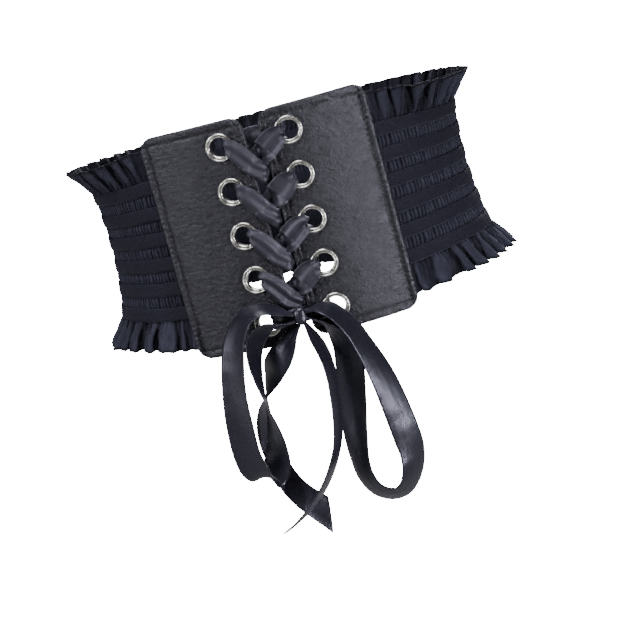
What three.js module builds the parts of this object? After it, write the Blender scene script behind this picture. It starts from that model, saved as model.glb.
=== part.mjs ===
// A wide elastic waist belt with a laced front.
//
// Two stiff leather panels meet at the front with a narrow gap. A satin ribbon laces them through ten
// metal eyelets and ends in a long hanging bow. Round the back runs a gathered cloth that six elastic
// tapes draw in, with a ruffle along its top and another along its bottom.
//
// Millimetres, +Z up. The belt's axis is Z, its front faces -Y, and X runs to the right of someone who
// looks at the front. The origin is the centre of the waist hollow, at half the height of the panels.

import * as THREE from 'three';
import { mergeVertices } from 'three/addons/utils/BufferGeometryUtils.js';

// Driving sizes of the waist hollow
const HOLLOW_HALF_WIDTH = 115;
const HOLLOW_HALF_DEPTH = 82;

// The leather panels
const PANEL_HEIGHT = 139.5;
const PANEL_WIDTH = 67.5;
const PANEL_THICKNESS = 2.5;
const PANEL_CORNER = 9;
const PANEL_BEVEL = 0.8;
const LACING_GAP = 9;

// The eyelets
const EYELETS_PER_PANEL = 5;
const EYELET_SPREAD = 0.78;
const EYELET_PITCH = EYELET_SPREAD * PANEL_HEIGHT / (EYELETS_PER_PANEL - 1);
const EYELET_INSET = 16.4;
const EYELET_HOLE_RADIUS = 5.9;
const EYELET_BARREL_WALL = 0.7;
const EYELET_FLANGE_RADIUS = 8.8;
const EYELET_FLANGE_RISE = 1.4;
const EYELET_WASHER_RADIUS = 8.2;
const EYELET_WASHER_THICKNESS = 0.6;

// The gathered cloth and its elastic tapes
const ELASTIC_HEIGHT = 88;
const SIDE_NARROWING = 0.07;
const TAPE_COUNT = 6;
const TAPE_WIDTH = 8.5;
const TAPE_THICKNESS = 0.8;
const CLOTH_THICKNESS = 1;
const GATHER_RELIEF = 0.8;
const GATHER_PITCH = 13;
const PANEL_OVERLAP = 8;
const HIP_FLARE = 6.5;
const NARROWEST_HEIGHT = 10;
const SHAPE_FADE = 60;

// The ruffles
const RUFFLE_LENGTH = 20;
const RUFFLE_THICKNESS = 1;
const RUFFLE_PITCH = 7.1;
const RUFFLE_LEAN = THREE.MathUtils.degToRad(34);
const RUFFLE_ROOT_FOLD = 0.7;
const RUFFLE_EDGE_FOLD = 2.3;
const RUFFLE_FADE = 34;

// The satin ribbon, its lacing and its bow
const RIBBON_WIDTH = 18;
const RIBBON_THICKNESS = 1;
const LACE_HOLE_WIDTH = 8;
const LACE_HOLE_OFFSET = 3;
const BAR_WIDTH = 14;
const BOW_REACH = 45;
const BOW_DROP = 130;
const KNOT_WIDTH = 8;
const KNOT_HEIGHT = 11;
const KNOT_DEPTH = 7;
const KNOT_STAND_OFF = 4.4;
const KNOT_RISE = 1.1;
const TAIL_SLANT = 15;

// Pieces that touch keep this gap
const CLEARANCE = 0.3;

// Numbers of facets
const ROUND_SIDES = 12;
const CORNER_STEPS = 4;
const PLAIN_STRIPS = 3;
const TAPE_STEP = 14;
const CLOTH_LINING_ROWS = 5;
const PLAN_STEPS = 2000;

// Depths, measured outwards from the face of the waist hollow
const clothTop = CLOTH_THICKNESS + GATHER_RELIEF;
const sideRadius = HOLLOW_HALF_DEPTH ** 2 / HOLLOW_HALF_WIDTH;
const frontRadius = HOLLOW_HALF_WIDTH ** 2 / HOLLOW_HALF_DEPTH;
const sagOf = (chord, radius) => chord ** 2 / (8 * radius);
const eyeletStrip = 2 * (EYELET_INSET - PANEL_CORNER);
const tapeBack = clothTop + CLEARANCE + sagOf(TAPE_STEP, sideRadius);
const tapeFront = tapeBack + TAPE_THICKNESS;
const panelBack = tapeFront + CLEARANCE + sagOf(eyeletStrip, frontRadius);
const panelFront = panelBack + PANEL_THICKNESS;
const panelMiddle = (panelBack + panelFront) / 2;

// The belt's plan curve, in the middle of the panels' thickness, from the front centre round to the right
const plan = new THREE.EllipseCurve(
  0, 0,
  HOLLOW_HALF_WIDTH + panelMiddle, HOLLOW_HALF_DEPTH + panelMiddle,
  -Math.PI / 2, 1.5 * Math.PI,
);
plan.arcLengthDivisions = PLAN_STEPS;
const loopLength = plan.getLength();

// Where the elastic starts and ends along the loop
const panelInnerEdge = LACING_GAP / 2;
const panelOuterEdge = panelInnerEdge + PANEL_WIDTH;
const elasticStart = panelOuterEdge - PANEL_OVERLAP;
const elasticLength = loopLength - 2 * elasticStart;

// How far a place on the loop lies past the outer edge of its nearer panel
function pastPanel(along) {
  const onward = THREE.MathUtils.euclideanModulo(along, loopLength);
  return Math.min(onward, loopLength - onward) - panelOuterEdge;
}

// The sides spread outwards over the hips and a little at the ribs
function flare(along, height) {
  const spread = THREE.MathUtils.smoothstep(pastPanel(along), 0, SHAPE_FADE);
  const lowest = ELASTIC_HEIGHT / 2 + NARROWEST_HEIGHT;
  return spread * HIP_FLARE * ((height - NARROWEST_HEIGHT) / lowest) ** 2;
}

// A point of the belt: so far along the loop, so high, and so far out from the waist hollow's face
function place(along, height, out) {
  const share = THREE.MathUtils.euclideanModulo(along, loopLength) / loopLength;
  const spot = plan.getPointAt(share);
  const way = plan.getTangentAt(share);
  const push = out - panelMiddle + flare(along, height);
  return new THREE.Vector3(spot.x + way.y * push, spot.y - way.x * push, height);
}

// Closed bodies from lists of points and triangles, with their faces turned outwards
function closedBody(points, triangles) {
  let volume = 0;
  const cross = new THREE.Vector3();
  for (const [a, b, c] of triangles) {
    volume += points[a].dot(cross.crossVectors(points[b], points[c]));
  }
  const outward = volume > 0 ? triangles : triangles.map(([a, b, c]) => [a, c, b]);
  const geometry = new THREE.BufferGeometry().setFromPoints(points);
  geometry.setIndex(outward.flat());
  geometry.computeVertexNormals();
  return geometry;
}

// A closed body from one of the library's geometries, with its seams joined
function closedGeometry(geometry) {
  geometry.deleteAttribute('normal');
  geometry.deleteAttribute('uv');
  const merged = mergeVertices(geometry);
  const corners = merged.getAttribute('position');
  const points = [];
  for (let at = 0; at < corners.count; at += 1) {
    points.push(new THREE.Vector3().fromBufferAttribute(corners, at));
  }
  const order = Array.from(merged.index.array);
  const triangles = Array.from({ length: order.length / 3 }, (_, at) => order.slice(3 * at, 3 * at + 3));
  return closedBody(points, triangles.filter(([a, b, c]) => a !== b && b !== c && c !== a));
}

// A wall between an outer and an inner grid of points, each grid[row][column], closed all round
function wall(outer, inner) {
  const points = [...outer.flat(), ...inner.flat()];
  const columns = outer[0].length;
  const firstInner = outer.length * columns;
  const front = (row, column) => row * columns + column;
  const back = (row, column) => firstInner + row * columns + column;
  const triangles = [];
  const quad = (a, b, c, d) => triangles.push([a, b, c], [a, c, d]);
  const outerTop = outer.length - 1;
  const innerTop = inner.length - 1;
  for (let column = 0; column < columns - 1; column += 1) {
    const next = column + 1;
    for (let row = 0; row < outerTop; row += 1) {
      quad(front(row, column), front(row, next), front(row + 1, next), front(row + 1, column));
    }
    for (let row = 0; row < innerTop; row += 1) {
      quad(back(row, column), back(row + 1, column), back(row + 1, next), back(row, next));
    }
    quad(front(outerTop, column), front(outerTop, next), back(innerTop, next), back(innerTop, column));
    quad(front(0, column), back(0, column), back(0, next), front(0, next));
  }
  closeEnd(triangles, outer, inner, front, back, 0, false);
  closeEnd(triangles, outer, inner, front, back, columns - 1, true);
  return closedBody(points, triangles);
}

// One end of a wall, between the two edges of its grids
function closeEnd(triangles, outer, inner, front, back, column, turned) {
  let low = 0;
  let high = 0;
  while (low < outer.length - 1 || high < inner.length - 1) {
    const stepOuter = high === inner.length - 1
      || (low < outer.length - 1 && (low + 1) * (inner.length - 1) <= (high + 1) * (outer.length - 1));
    const triangle = stepOuter
      ? [front(low, column), front(low + 1, column), back(high, column)]
      : [front(low, column), back(high + 1, column), back(high, column)];
    triangles.push(turned ? triangle.toReversed() : triangle);
    low += stepOuter ? 1 : 0;
    high += stepOuter ? 0 : 1;
  }
}

// Evenly spaced numbers from first to last
function spaced(first, last, steps) {
  return Array.from({ length: steps + 1 }, (_, step) => first + (last - first) * step / steps);
}

// The elastic keeps its full height at the panels and is a little lower at the sides and back
function elasticHeight(along, height) {
  return height * (1 - SIDE_NARROWING * THREE.MathUtils.smoothstep(pastPanel(along), 0, SHAPE_FADE));
}

// Materials
function material(color, roughness, metalness) {
  return new THREE.MeshStandardMaterial({ color, roughness, metalness });
}
const leather = material(0x2b2b2f, 0.55, 0);
const gatheredCloth = material(0x26262e, 0.85, 0);
const elasticTape = material(0x2a2a33, 0.75, 0);
const nickel = material(0xc9c6c1, 0.28, 1);
const satin = material(0x34343d, 0.4, 0);

const belt = new THREE.Group();

function addPiece(name, geometry, look) {
  const piece = new THREE.Mesh(geometry, look);
  piece.name = name;
  belt.add(piece);
  return piece;
}

// Heights of the eyelets' centres
const eyeletHeights = spaced(
  EYELET_PITCH * (EYELETS_PER_PANEL - 1) / 2,
  -EYELET_PITCH * (EYELETS_PER_PANEL - 1) / 2,
  EYELETS_PER_PANEL - 1,
);
const barrelRadius = EYELET_HOLE_RADIUS + EYELET_BARREL_WALL;
const panelHoleRadius = barrelRadius + CLEARANCE;

// One outline of a panel: its stations from the inner edge outwards, each with its half height
function panelStations(inset) {
  const turn = PANEL_CORNER - inset;
  const stations = [];
  for (const angle of spaced(0, Math.PI / 2, CORNER_STEPS)) {
    stations.push({
      from: PANEL_CORNER - turn * Math.cos(angle),
      half: PANEL_HEIGHT / 2 - PANEL_CORNER + turn * Math.sin(angle),
    });
  }
  const plainStart = PANEL_CORNER + eyeletStrip;
  const plainEnd = PANEL_WIDTH - PANEL_CORNER;
  for (const from of spaced(plainStart, plainEnd, PLAIN_STRIPS).slice(0, -1)) {
    stations.push({ from, half: PANEL_HEIGHT / 2 - inset });
  }
  for (const angle of spaced(Math.PI / 2, 0, CORNER_STEPS)) {
    stations.push({
      from: PANEL_WIDTH - PANEL_CORNER + turn * Math.cos(angle),
      half: PANEL_HEIGHT / 2 - PANEL_CORNER + turn * Math.sin(angle),
    });
  }
  return stations;
}

// A stiff leather panel with a softened front edge and its round holes
function panel(side) {
  const points = [];
  const triangles = [];
  const addPoint = (from, height, out) => points.push(place(side * (panelInnerEdge + from), height, out)) - 1;
  const layers = [
    { inset: 0, out: panelBack },
    { inset: 0, out: panelFront - PANEL_BEVEL },
    { inset: PANEL_BEVEL, out: panelFront },
  ].map(({ inset, out }) => panelStations(inset).map(({ from, half }) => ({
    from,
    half,
    low: addPoint(from, -half, out),
    high: addPoint(from, half, out),
  })));
  const holeRing = (out) => eyeletHeights.map((centre) => spaced(0, 2 * Math.PI, ROUND_SIDES).slice(0, -1)
    .map((angle) => {
      const from = EYELET_INSET + panelHoleRadius * Math.cos(angle);
      const height = centre + panelHoleRadius * Math.sin(angle);
      return { from, height, index: addPoint(from, height, out) };
    }));
  const backHoles = holeRing(panelBack);
  const frontHoles = holeRing(panelFront);
  addFace(triangles, layers[2], frontHoles, false);
  addFace(triangles, layers[0], backHoles, true);
  for (let layer = 0; layer < layers.length - 1; layer += 1) {
    const lower = outlineLoop(layers[layer]);
    const upper = outlineLoop(layers[layer + 1]);
    addBelt(triangles, lower, upper, false);
  }
  for (let hole = 0; hole < eyeletHeights.length; hole += 1) {
    const backLoop = backHoles[hole].map(({ index }) => index);
    const frontLoop = frontHoles[hole].map(({ index }) => index);
    addBelt(triangles, backLoop, frontLoop, true);
  }
  return closedBody(points, triangles);
}

// The outline's points in order: along the bottom, then back along the top
function outlineLoop(stations) {
  return [...stations.map(({ low }) => low), ...stations.map(({ high }) => high).reverse()];
}

// A strip of triangles between two closed rings of points
function addBelt(triangles, lower, upper, turned) {
  for (let step = 0; step < lower.length; step += 1) {
    const next = (step + 1) % lower.length;
    const pair = [[lower[step], lower[next], upper[next]], [lower[step], upper[next], upper[step]]];
    triangles.push(...(turned ? pair.map((triangle) => triangle.toReversed()) : pair));
  }
}

// One face of a panel: narrow strips from bottom to top, one of which holds the eyelets' holes
function addFace(triangles, stations, holes, turned) {
  const keep = (triangle) => triangles.push(turned ? triangle.toReversed() : triangle);
  for (let step = 0; step < stations.length - 1; step += 1) {
    const here = stations[step];
    const next = stations[step + 1];
    if (step !== CORNER_STEPS) {
      keep([here.low, next.low, next.high]);
      keep([here.low, next.high, here.high]);
    } else {
      const outline = [
        { from: here.from, height: -here.half, index: here.low },
        { from: next.from, height: -next.half, index: next.low },
        { from: next.from, height: next.half, index: next.high },
        { from: here.from, height: here.half, index: here.high },
      ];
      const flat = (list) => list.map(({ from, height }) => new THREE.Vector2(from, height));
      const all = [outline, ...holes].flat();
      for (const corners of THREE.ShapeUtils.triangulateShape(flat(outline), holes.map(flat))) {
        keep(corners.map((corner) => all[corner].index));
      }
    }
  }
}

addPiece('panel_left', panel(-1), leather);
addPiece('panel_right', panel(1), leather);

// A metal eyelet: a barrel through the panel, a domed flange in front and a flat washer behind
const flangeSag = sagOf(2 * EYELET_FLANGE_RADIUS, frontRadius);
const flangeBack = panelFront + CLEARANCE;
const flangeFront = flangeBack + EYELET_FLANGE_RISE;
const washerFront = panelBack - CLEARANCE - flangeSag;
const washerBack = washerFront - EYELET_WASHER_THICKNESS;

function eyelet(side, height) {
  const flangeRing = (EYELET_FLANGE_RADIUS + EYELET_HOLE_RADIUS) / 2;
  const profile = [
    [EYELET_HOLE_RADIUS, washerBack],
    [EYELET_WASHER_RADIUS, washerBack],
    [EYELET_WASHER_RADIUS, washerFront],
    [barrelRadius, washerFront],
    [barrelRadius, flangeBack],
    [EYELET_FLANGE_RADIUS, flangeBack],
    [flangeRing, flangeFront],
    [EYELET_HOLE_RADIUS, (flangeBack + flangeFront) / 2],
    [EYELET_HOLE_RADIUS, washerBack],
  ].map(([radius, out]) => new THREE.Vector2(radius, out - panelFront));
  const ring = new THREE.LatheGeometry(profile, ROUND_SIDES);
  const along = side * (panelInnerEdge + EYELET_INSET);
  const seat = place(along, height, panelFront);
  const outward = place(along, height, panelFront + 1).sub(seat);
  ring.applyQuaternion(new THREE.Quaternion().setFromUnitVectors(new THREE.Vector3(0, 1, 0), outward));
  ring.translate(seat.x, seat.y, seat.z);
  return closedGeometry(ring);
}

eyeletHeights.forEach((height, row) => {
  addPiece(`eyelet_left_${row + 1}`, eyelet(-1, height), nickel);
  addPiece(`eyelet_right_${row + 1}`, eyelet(1, height), nickel);
});

// The gathered cloth: smooth inside, with upright gathers that stand out in the rows between the tapes
const elasticBottom = -ELASTIC_HEIGHT / 2;
const tapeBottoms = spaced(elasticBottom, -elasticBottom - TAPE_WIDTH, TAPE_COUNT - 1);
const gatherSteps = 2 * Math.round(elasticLength / GATHER_PITCH);
const gatherPlaces = spaced(elasticStart, elasticStart + elasticLength, gatherSteps);

function gatheredWall() {
  const rows = [];
  tapeBottoms.forEach((bottom, tape) => {
    rows.push({ height: bottom, folded: tape > 0 });
    rows.push({ height: bottom + TAPE_WIDTH, folded: tape < TAPE_COUNT - 1 });
  });
  const outer = rows.map(({ height, folded }) => gatherPlaces.map((along, step) => {
    const ridge = folded && step % 2 === 1 ? GATHER_RELIEF : 0;
    return place(along, elasticHeight(along, height), CLOTH_THICKNESS + ridge);
  }));
  const lining = spaced(elasticBottom, -elasticBottom, CLOTH_LINING_ROWS);
  const inner = lining.map((height) => gatherPlaces.map(
    (along) => place(along, elasticHeight(along, height), 0),
  ));
  return wall(outer, inner);
}

addPiece('gathered_cloth', gatheredWall(), gatheredCloth);

// The elastic tapes lie over the gathers
function tape(bottom) {
  const steps = Math.ceil(elasticLength / TAPE_STEP);
  const places = spaced(elasticStart, elasticStart + elasticLength, steps);
  const sheet = (out) => [bottom, bottom + TAPE_WIDTH]
    .map((height) => places.map((along) => place(along, elasticHeight(along, height), out)));
  return wall(sheet(tapeFront), sheet(tapeBack));
}

tapeBottoms.toReversed().forEach((bottom, row) => {
  addPiece(`elastic_tape_${row + 1}`, tape(bottom), elasticTape);
});

// A ruffle: small folds where it is gathered in, wide ones along its free edge, leaning outwards at the sides
function ruffle(upwards) {
  const steps = 2 * Math.round(elasticLength / RUFFLE_PITCH);
  const places = spaced(elasticStart, elasticStart + elasticLength, steps);
  const middle = clothTop / 2 + RUFFLE_THICKNESS / 2;
  const sheet = (side) => [0, 1].map((reach) => places.map((along, step) => {
    const fade = THREE.MathUtils.smoothstep(pastPanel(along), 0, RUFFLE_FADE);
    const lean = RUFFLE_LEAN * fade;
    const root = elasticHeight(along, upwards * (ELASTIC_HEIGHT / 2 + CLEARANCE));
    const edgeFold = THREE.MathUtils.lerp(RUFFLE_ROOT_FOLD, RUFFLE_EDGE_FOLD, fade);
    const fold = THREE.MathUtils.lerp(RUFFLE_ROOT_FOLD, edgeFold, reach) * (step % 2 === 1 ? 1 : -1);
    const spot = place(along, root, middle + fold + side * RUFFLE_THICKNESS / 2);
    const outward = place(along, root, middle + 1).sub(place(along, root, middle));
    spot.addScaledVector(outward, reach * RUFFLE_LENGTH * Math.sin(lean));
    spot.z += upwards * reach * RUFFLE_LENGTH * Math.cos(lean);
    return spot;
  }));
  return upwards > 0 ? wall(sheet(1), sheet(-1)) : wall(sheet(1).toReversed(), sheet(-1).toReversed());
}

addPiece('ruffle_top', ruffle(1), gatheredCloth);
addPiece('ruffle_bottom', ruffle(-1), gatheredCloth);

// Levels that the lacing runs at, to the middle of the ribbon's thickness
const halfRibbon = RIBBON_THICKNESS / 2;
const overPanel = panelFront + CLEARANCE + halfRibbon;
const overFlange = flangeFront + CLEARANCE + halfRibbon;
const underPanel = panelBack - CLEARANCE - halfRibbon;
const underWasher = washerBack - CLEARANCE - halfRibbon;
const underPasses = underPanel - CLEARANCE - RIBBON_THICKNESS;
const laceHole = panelInnerEdge + EYELET_INSET - LACE_HOLE_OFFSET;
const laceRun = laceHole - panelInnerEdge;

// A pass comes up through its eyelet and turns over the flange towards the gap
const LACE_START = [
  { run: 0, level: panelMiddle + CLEARANCE / 2, widen: 0 },
  { run: 0.015, level: flangeBack + EYELET_FLANGE_RISE / 2, widen: 0 },
  { run: 0.11, level: overFlange, widen: 0.05 },
  { run: 0.27, level: overFlange, widen: 0.5 },
  { run: 0.5, level: overFlange, widen: 0.9 },
  { run: 0.88, level: overPanel + CLEARANCE, widen: 1 },
];

// Behind the other panel it runs to the next eyelet and rises into it: shares of the way there
const LACE_SUNK = 0.12;
const LACE_HALFWAY = 0.46;
const LACE_ARRIVED = 0.9;
const LACE_RISING = 0.985;
const LACE_END = [
  { run: LACE_SUNK, level: underPanel, widen: 0.9 },
  { run: LACE_HALFWAY, level: underWasher, widen: 0.5 },
  { run: LACE_ARRIVED, level: underWasher, widen: 0.1 },
  { run: LACE_RISING, level: washerBack, widen: 0 },
  { run: 1, level: panelMiddle - CLEARANCE / 2, widen: 0 },
];

// Across the gap: way is a share of half the gap, lift of the rise from under the panels to over them,
// drop of the eyelets' pitch and width of the ribbon's
const UPPER_CROSSING = [
  { way: -1, lift: 1, drop: 0.56, width: 0.78 },
  { way: 0, lift: 0.82, drop: 0.71, width: 0.69 },
  { way: 0.33, lift: 0.7, drop: 0.76, width: 0.68 },
  { way: 0.67, lift: 0.34, drop: 0.81, width: 0.68 },
  { way: 1, lift: 0, drop: 0.86, width: 0.68 },
];
const LOWER_CROSSING = [
  { way: -1, lift: 1, drop: 0.28, width: 0.66 },
  { way: -0.67, lift: 0.7, drop: 0.31, width: 0.6 },
  { way: -0.33, lift: 0.26, drop: 0.33, width: 0.58 },
  { way: 0, lift: 0.12, drop: 0.36, width: 0.58 },
  { way: 1, lift: 0, drop: 0.45, width: 0.66 },
];
const LACE_DROP_CURVE = 1.5;

// A ribbon laid on the belt: stations along it, upright across, its thickness square to its run
function laidRibbon(stations) {
  const lines = stations.map((station, at) => {
    const before = stations[Math.max(at - 1, 0)];
    const after = stations[Math.min(at + 1, stations.length - 1)];
    const run = new THREE.Vector2(after.along - before.along, after.level - before.level).normalize();
    return [-halfRibbon, halfRibbon].map((step) => [-0.5, 0.5].map((edge) => place(
      station.along - run.y * step,
      station.height + edge * station.width,
      station.level + run.x * step,
    )));
  });
  const sheet = (face) => [0, 1].map((edge) => lines.map((line) => line[face][edge]));
  return wall(sheet(1), sheet(0));
}

// One pass of the lacing, from an eyelet of one panel to the next eyelet down of the other
function lacePass(side, row, crossing) {
  const top = eyeletHeights[row];
  const edge = crossing[0];
  const leave = crossing.at(-1);
  const widthBetween = (widen, share) => THREE.MathUtils.lerp(LACE_HOLE_WIDTH, share * RIBBON_WIDTH, widen);
  const start = LACE_START.map(({ run, level, widen }) => ({
    along: side * (laceHole - run * laceRun),
    height: top - EYELET_PITCH * edge.drop * run ** LACE_DROP_CURVE,
    level,
    width: widthBetween(widen, edge.width),
  }));
  const middle = crossing.map(({ way, lift, drop, width }) => ({
    along: -side * way * panelInnerEdge,
    height: top - EYELET_PITCH * drop,
    level: THREE.MathUtils.lerp(underPanel, overPanel + CLEARANCE, lift),
    width: width * RIBBON_WIDTH,
  }));
  const end = LACE_END.map(({ run, level, widen }) => ({
    along: -side * (panelInnerEdge + run * laceRun),
    height: top - EYELET_PITCH * THREE.MathUtils.lerp(leave.drop, 1, Math.min(run / LACE_ARRIVED, 1)),
    level,
    width: widthBetween(widen, leave.width),
  }));
  return laidRibbon([...start, ...middle, ...end]);
}

for (let row = 0; row < EYELETS_PER_PANEL - 1; row += 1) {
  addPiece(`lace_left_to_right_${row + 1}`, lacePass(-1, row, UPPER_CROSSING), satin);
  addPiece(`lace_right_to_left_${row + 1}`, lacePass(1, row, LOWER_CROSSING), satin);
}

// The top bar of the lacing lies behind both panels
function laceBar() {
  const half = [
    { run: 1, level: panelMiddle - CLEARANCE / 2, width: LACE_HOLE_WIDTH },
    { run: LACE_RISING, level: washerBack, width: LACE_HOLE_WIDTH },
    { run: LACE_ARRIVED, level: underPasses, width: LACE_HOLE_WIDTH },
    { run: LACE_HALFWAY, level: underPasses, width: (LACE_HOLE_WIDTH + BAR_WIDTH) / 2 },
    { run: 0, level: underPasses, width: BAR_WIDTH },
  ];
  const stations = (side) => half.map(({ run, level, width }) => ({
    along: side * (panelInnerEdge + run * laceRun),
    height: eyeletHeights[0],
    level,
    width,
  }));
  return laidRibbon([...stations(-1), ...stations(1).toReversed()]);
}

addPiece('lace_bar', laceBar(), satin);

// The knot stands in front of the gap, level with the last eyelets
const lastEyelet = eyeletHeights.at(-1);
const knotOut = panelFront + KNOT_STAND_OFF + KNOT_DEPTH / 2;
const knotHeight = lastEyelet + KNOT_RISE;
const knotCentre = place(0, knotHeight, knotOut);

function knot() {
  const lump = new THREE.SphereGeometry(1, ROUND_SIDES, ROUND_SIDES / 2);
  lump.rotateX(Math.PI / 2);
  lump.scale(KNOT_WIDTH / 2, KNOT_DEPTH / 2, KNOT_HEIGHT / 2);
  lump.translate(knotCentre.x, knotCentre.y, knotCentre.z);
  return closedGeometry(lump);
}

addPiece('bow_knot', knot(), satin);

// The two ends of the lacing run over the panels and in behind the knot
function laceEnd(side) {
  const behindKnot = knotOut - KNOT_DEPTH / 2 - CLEARANCE - halfRibbon;
  const start = LACE_START.slice(0, -1).map(({ run, level, widen }) => ({
    along: side * (laceHole - run * laceRun),
    height: lastEyelet,
    level,
    width: THREE.MathUtils.lerp(LACE_HOLE_WIDTH, RIBBON_WIDTH / 2, widen),
  }));
  const end = [panelInnerEdge, CLEARANCE].map((along) => ({
    along: side * along,
    height: knotHeight,
    level: behindKnot,
    width: LACE_HOLE_WIDTH,
  }));
  return laidRibbon([...start, ...end]);
}

addPiece('lace_end_left', laceEnd(-1), satin);
addPiece('lace_end_right', laceEnd(1), satin);

// The bow, in stations from the knot's middle. Across is a share of the bow's reach, down of its drop, out
// and width of the ribbon's width, knotAcross and knotDown of half the knot. The line across the ribbon
// points to heading, in degrees in the front view, and turns towards the viewer by turn.
const BOW_LOOP_LEFT = [
  { across: 0, down: 0, out: 0, knotAcross: -1.01, knotDown: -0.35, heading: -90, turn: 90, width: 0.34 },
  { across: -0.267, down: -0.046, out: 0.08, heading: -110, turn: 80, width: 0.8 },
  { across: -0.467, down: -0.074, out: 0.14, heading: -90, turn: 76, width: 1 },
  { across: -0.700, down: -0.058, out: 0.22, heading: -55, turn: 62, width: 1 },
  { across: -0.900, down: 0.023, out: 0.28, heading: -30, turn: 46, width: 1 },
  { across: -1.011, down: 0.123, out: 0.31, heading: -16, turn: 36, width: 1 },
  { across: -1.111, down: 0.274, out: 0.31, heading: -8, turn: 30, width: 1 },
  { across: -1.164, down: 0.428, out: 0.28, heading: -2, turn: 18, width: 1 },
  { across: -1.178, down: 0.569, out: 0.25, heading: -6, turn: 14, width: 1 },
  { across: -1.140, down: 0.650, out: 0.19, heading: -12, turn: 8, width: 1 },
  { across: -1.060, down: 0.700, out: 0.03, heading: -17, turn: 5, width: 1 },
  { across: -0.960, down: 0.712, out: -0.12, heading: -18, turn: 8, width: 1 },
  { across: -0.865, down: 0.668, out: -0.16, heading: -14, turn: 20, width: 1 },
  { across: -0.790, down: 0.575, out: -0.10, heading: -8, turn: 42, width: 1 },
  { across: -0.757, down: 0.468, out: 0.02, heading: -3, turn: 62, width: 1 },
  { across: -0.762, down: 0.345, out: 0.12, heading: 0, turn: 84, width: 1 },
  { across: -0.770, down: 0.228, out: 0.16, heading: -4, turn: 100, width: 1 },
  { across: -0.742, down: 0.130, out: 0.17, heading: -12, turn: 114, width: 1 },
  { across: -0.655, down: 0.052, out: 0.16, heading: -34, turn: 126, width: 1 },
  { across: -0.478, down: 0.012, out: 0.14, heading: -62, turn: 122, width: 0.95 },
  { across: -0.267, down: 0.016, out: 0.08, heading: -85, turn: 106, width: 0.7 },
  { across: 0, down: 0, out: 0, knotAcross: -1.01, knotDown: 0.35, heading: -90, turn: 90, width: 0.34 },
];
const BOW_LOOP_RIGHT = [
  { across: 0, down: 0, out: 0, knotAcross: 1.01, knotDown: -0.35, heading: -90, turn: 90, width: 0.34 },
  { across: 0.233, down: -0.028, out: 0.10, heading: -92, turn: 82, width: 0.7 },
  { across: 0.378, down: -0.014, out: 0.19, heading: -115, turn: 72, width: 1 },
  { across: 0.533, down: 0.042, out: 0.22, heading: -132, turn: 66, width: 1 },
  { across: 0.644, down: 0.108, out: 0.28, heading: -148, turn: 62, width: 1 },
  { across: 0.733, down: 0.197, out: 0.31, heading: -162, turn: 57, width: 1 },
  { across: 0.853, down: 0.351, out: 0.33, heading: -166, turn: 42, width: 1 },
  { across: 0.920, down: 0.505, out: 0.31, heading: -173, turn: 30, width: 1 },
  { across: 0.964, down: 0.658, out: 0.22, heading: -178, turn: 25, width: 1 },
  { across: 0.978, down: 0.735, out: 0.14, heading: -184, turn: 34, width: 1 },
  { across: 0.938, down: 0.819, out: 0.06, heading: -200, turn: 44, width: 1 },
  { across: 0.833, down: 0.892, out: -0.06, heading: -222, turn: 50, width: 1 },
  { across: 0.689, down: 0.934, out: -0.17, heading: -254, turn: 50, width: 1 },
  { across: 0.522, down: 0.935, out: -0.22, heading: -275, turn: 48, width: 1 },
  { across: 0.356, down: 0.900, out: -0.28, heading: -306, turn: 48, width: 1 },
  { across: 0.256, down: 0.831, out: -0.31, heading: -335, turn: 48, width: 1 },
  { across: 0.231, down: 0.735, out: -0.33, heading: -358, turn: 46, width: 1 },
  { across: 0.280, down: 0.582, out: -0.31, heading: -368, turn: 30, width: 1 },
  { across: 0.364, down: 0.428, out: -0.28, heading: -370, turn: 16, width: 1 },
  { across: 0.440, down: 0.292, out: -0.25, heading: -368, turn: 14, width: 1 },
  { across: 0.458, down: 0.197, out: -0.08, heading: -356, turn: 30, width: 1 },
  { across: 0.396, down: 0.118, out: 0.10, heading: -340, turn: 52, width: 1 },
  { across: 0.289, down: 0.063, out: 0.17, heading: -318, turn: 72, width: 0.85 },
  { across: 0.191, down: 0.034, out: 0.10, heading: -295, turn: 84, width: 0.52 },
  { across: 0, down: 0, out: 0, knotAcross: 1.01, knotDown: 0.35, heading: -270, turn: 90, width: 0.34 },
];
const BOW_TAIL_LEFT = [
  { across: 0, down: 0, out: 0, knotAcross: -0.49, knotDown: 0.92, heading: -40, turn: 82, width: 0.36 },
  { across: -0.178, down: 0.082, out: 0.03, heading: -44, turn: 60, width: 0.8 },
  { across: -0.333, down: 0.143, out: 0.03, heading: -40, turn: 42, width: 1 },
  { across: -0.511, down: 0.205, out: -0.22, heading: -38, turn: 38, width: 1 },
  { across: -0.689, down: 0.285, out: -0.69, heading: -36, turn: 66, width: 1 },
  { across: -0.778, down: 0.335, out: -0.94, heading: -25, turn: 84, width: 1 },
  { across: -0.880, down: 0.431, out: -1.03, heading: -10, turn: 110, width: 1 },
  { across: -0.920, down: 0.538, out: -1.03, heading: 2, turn: 121, width: 1 },
  { across: -0.902, down: 0.631, out: -1.00, heading: 8, turn: 121, width: 1 },
  { across: -0.844, down: 0.720, out: -0.89, heading: 18, turn: 122, width: 1 },
  { across: -0.756, down: 0.800, out: -0.75, heading: 24, turn: 127, width: 1 },
  { across: -0.622, down: 0.872, out: -0.67, heading: 28, turn: 132, width: 1 },
  { across: -0.350, down: 0.980, out: -0.58, heading: 40, turn: 142, width: 1 },
];
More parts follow.
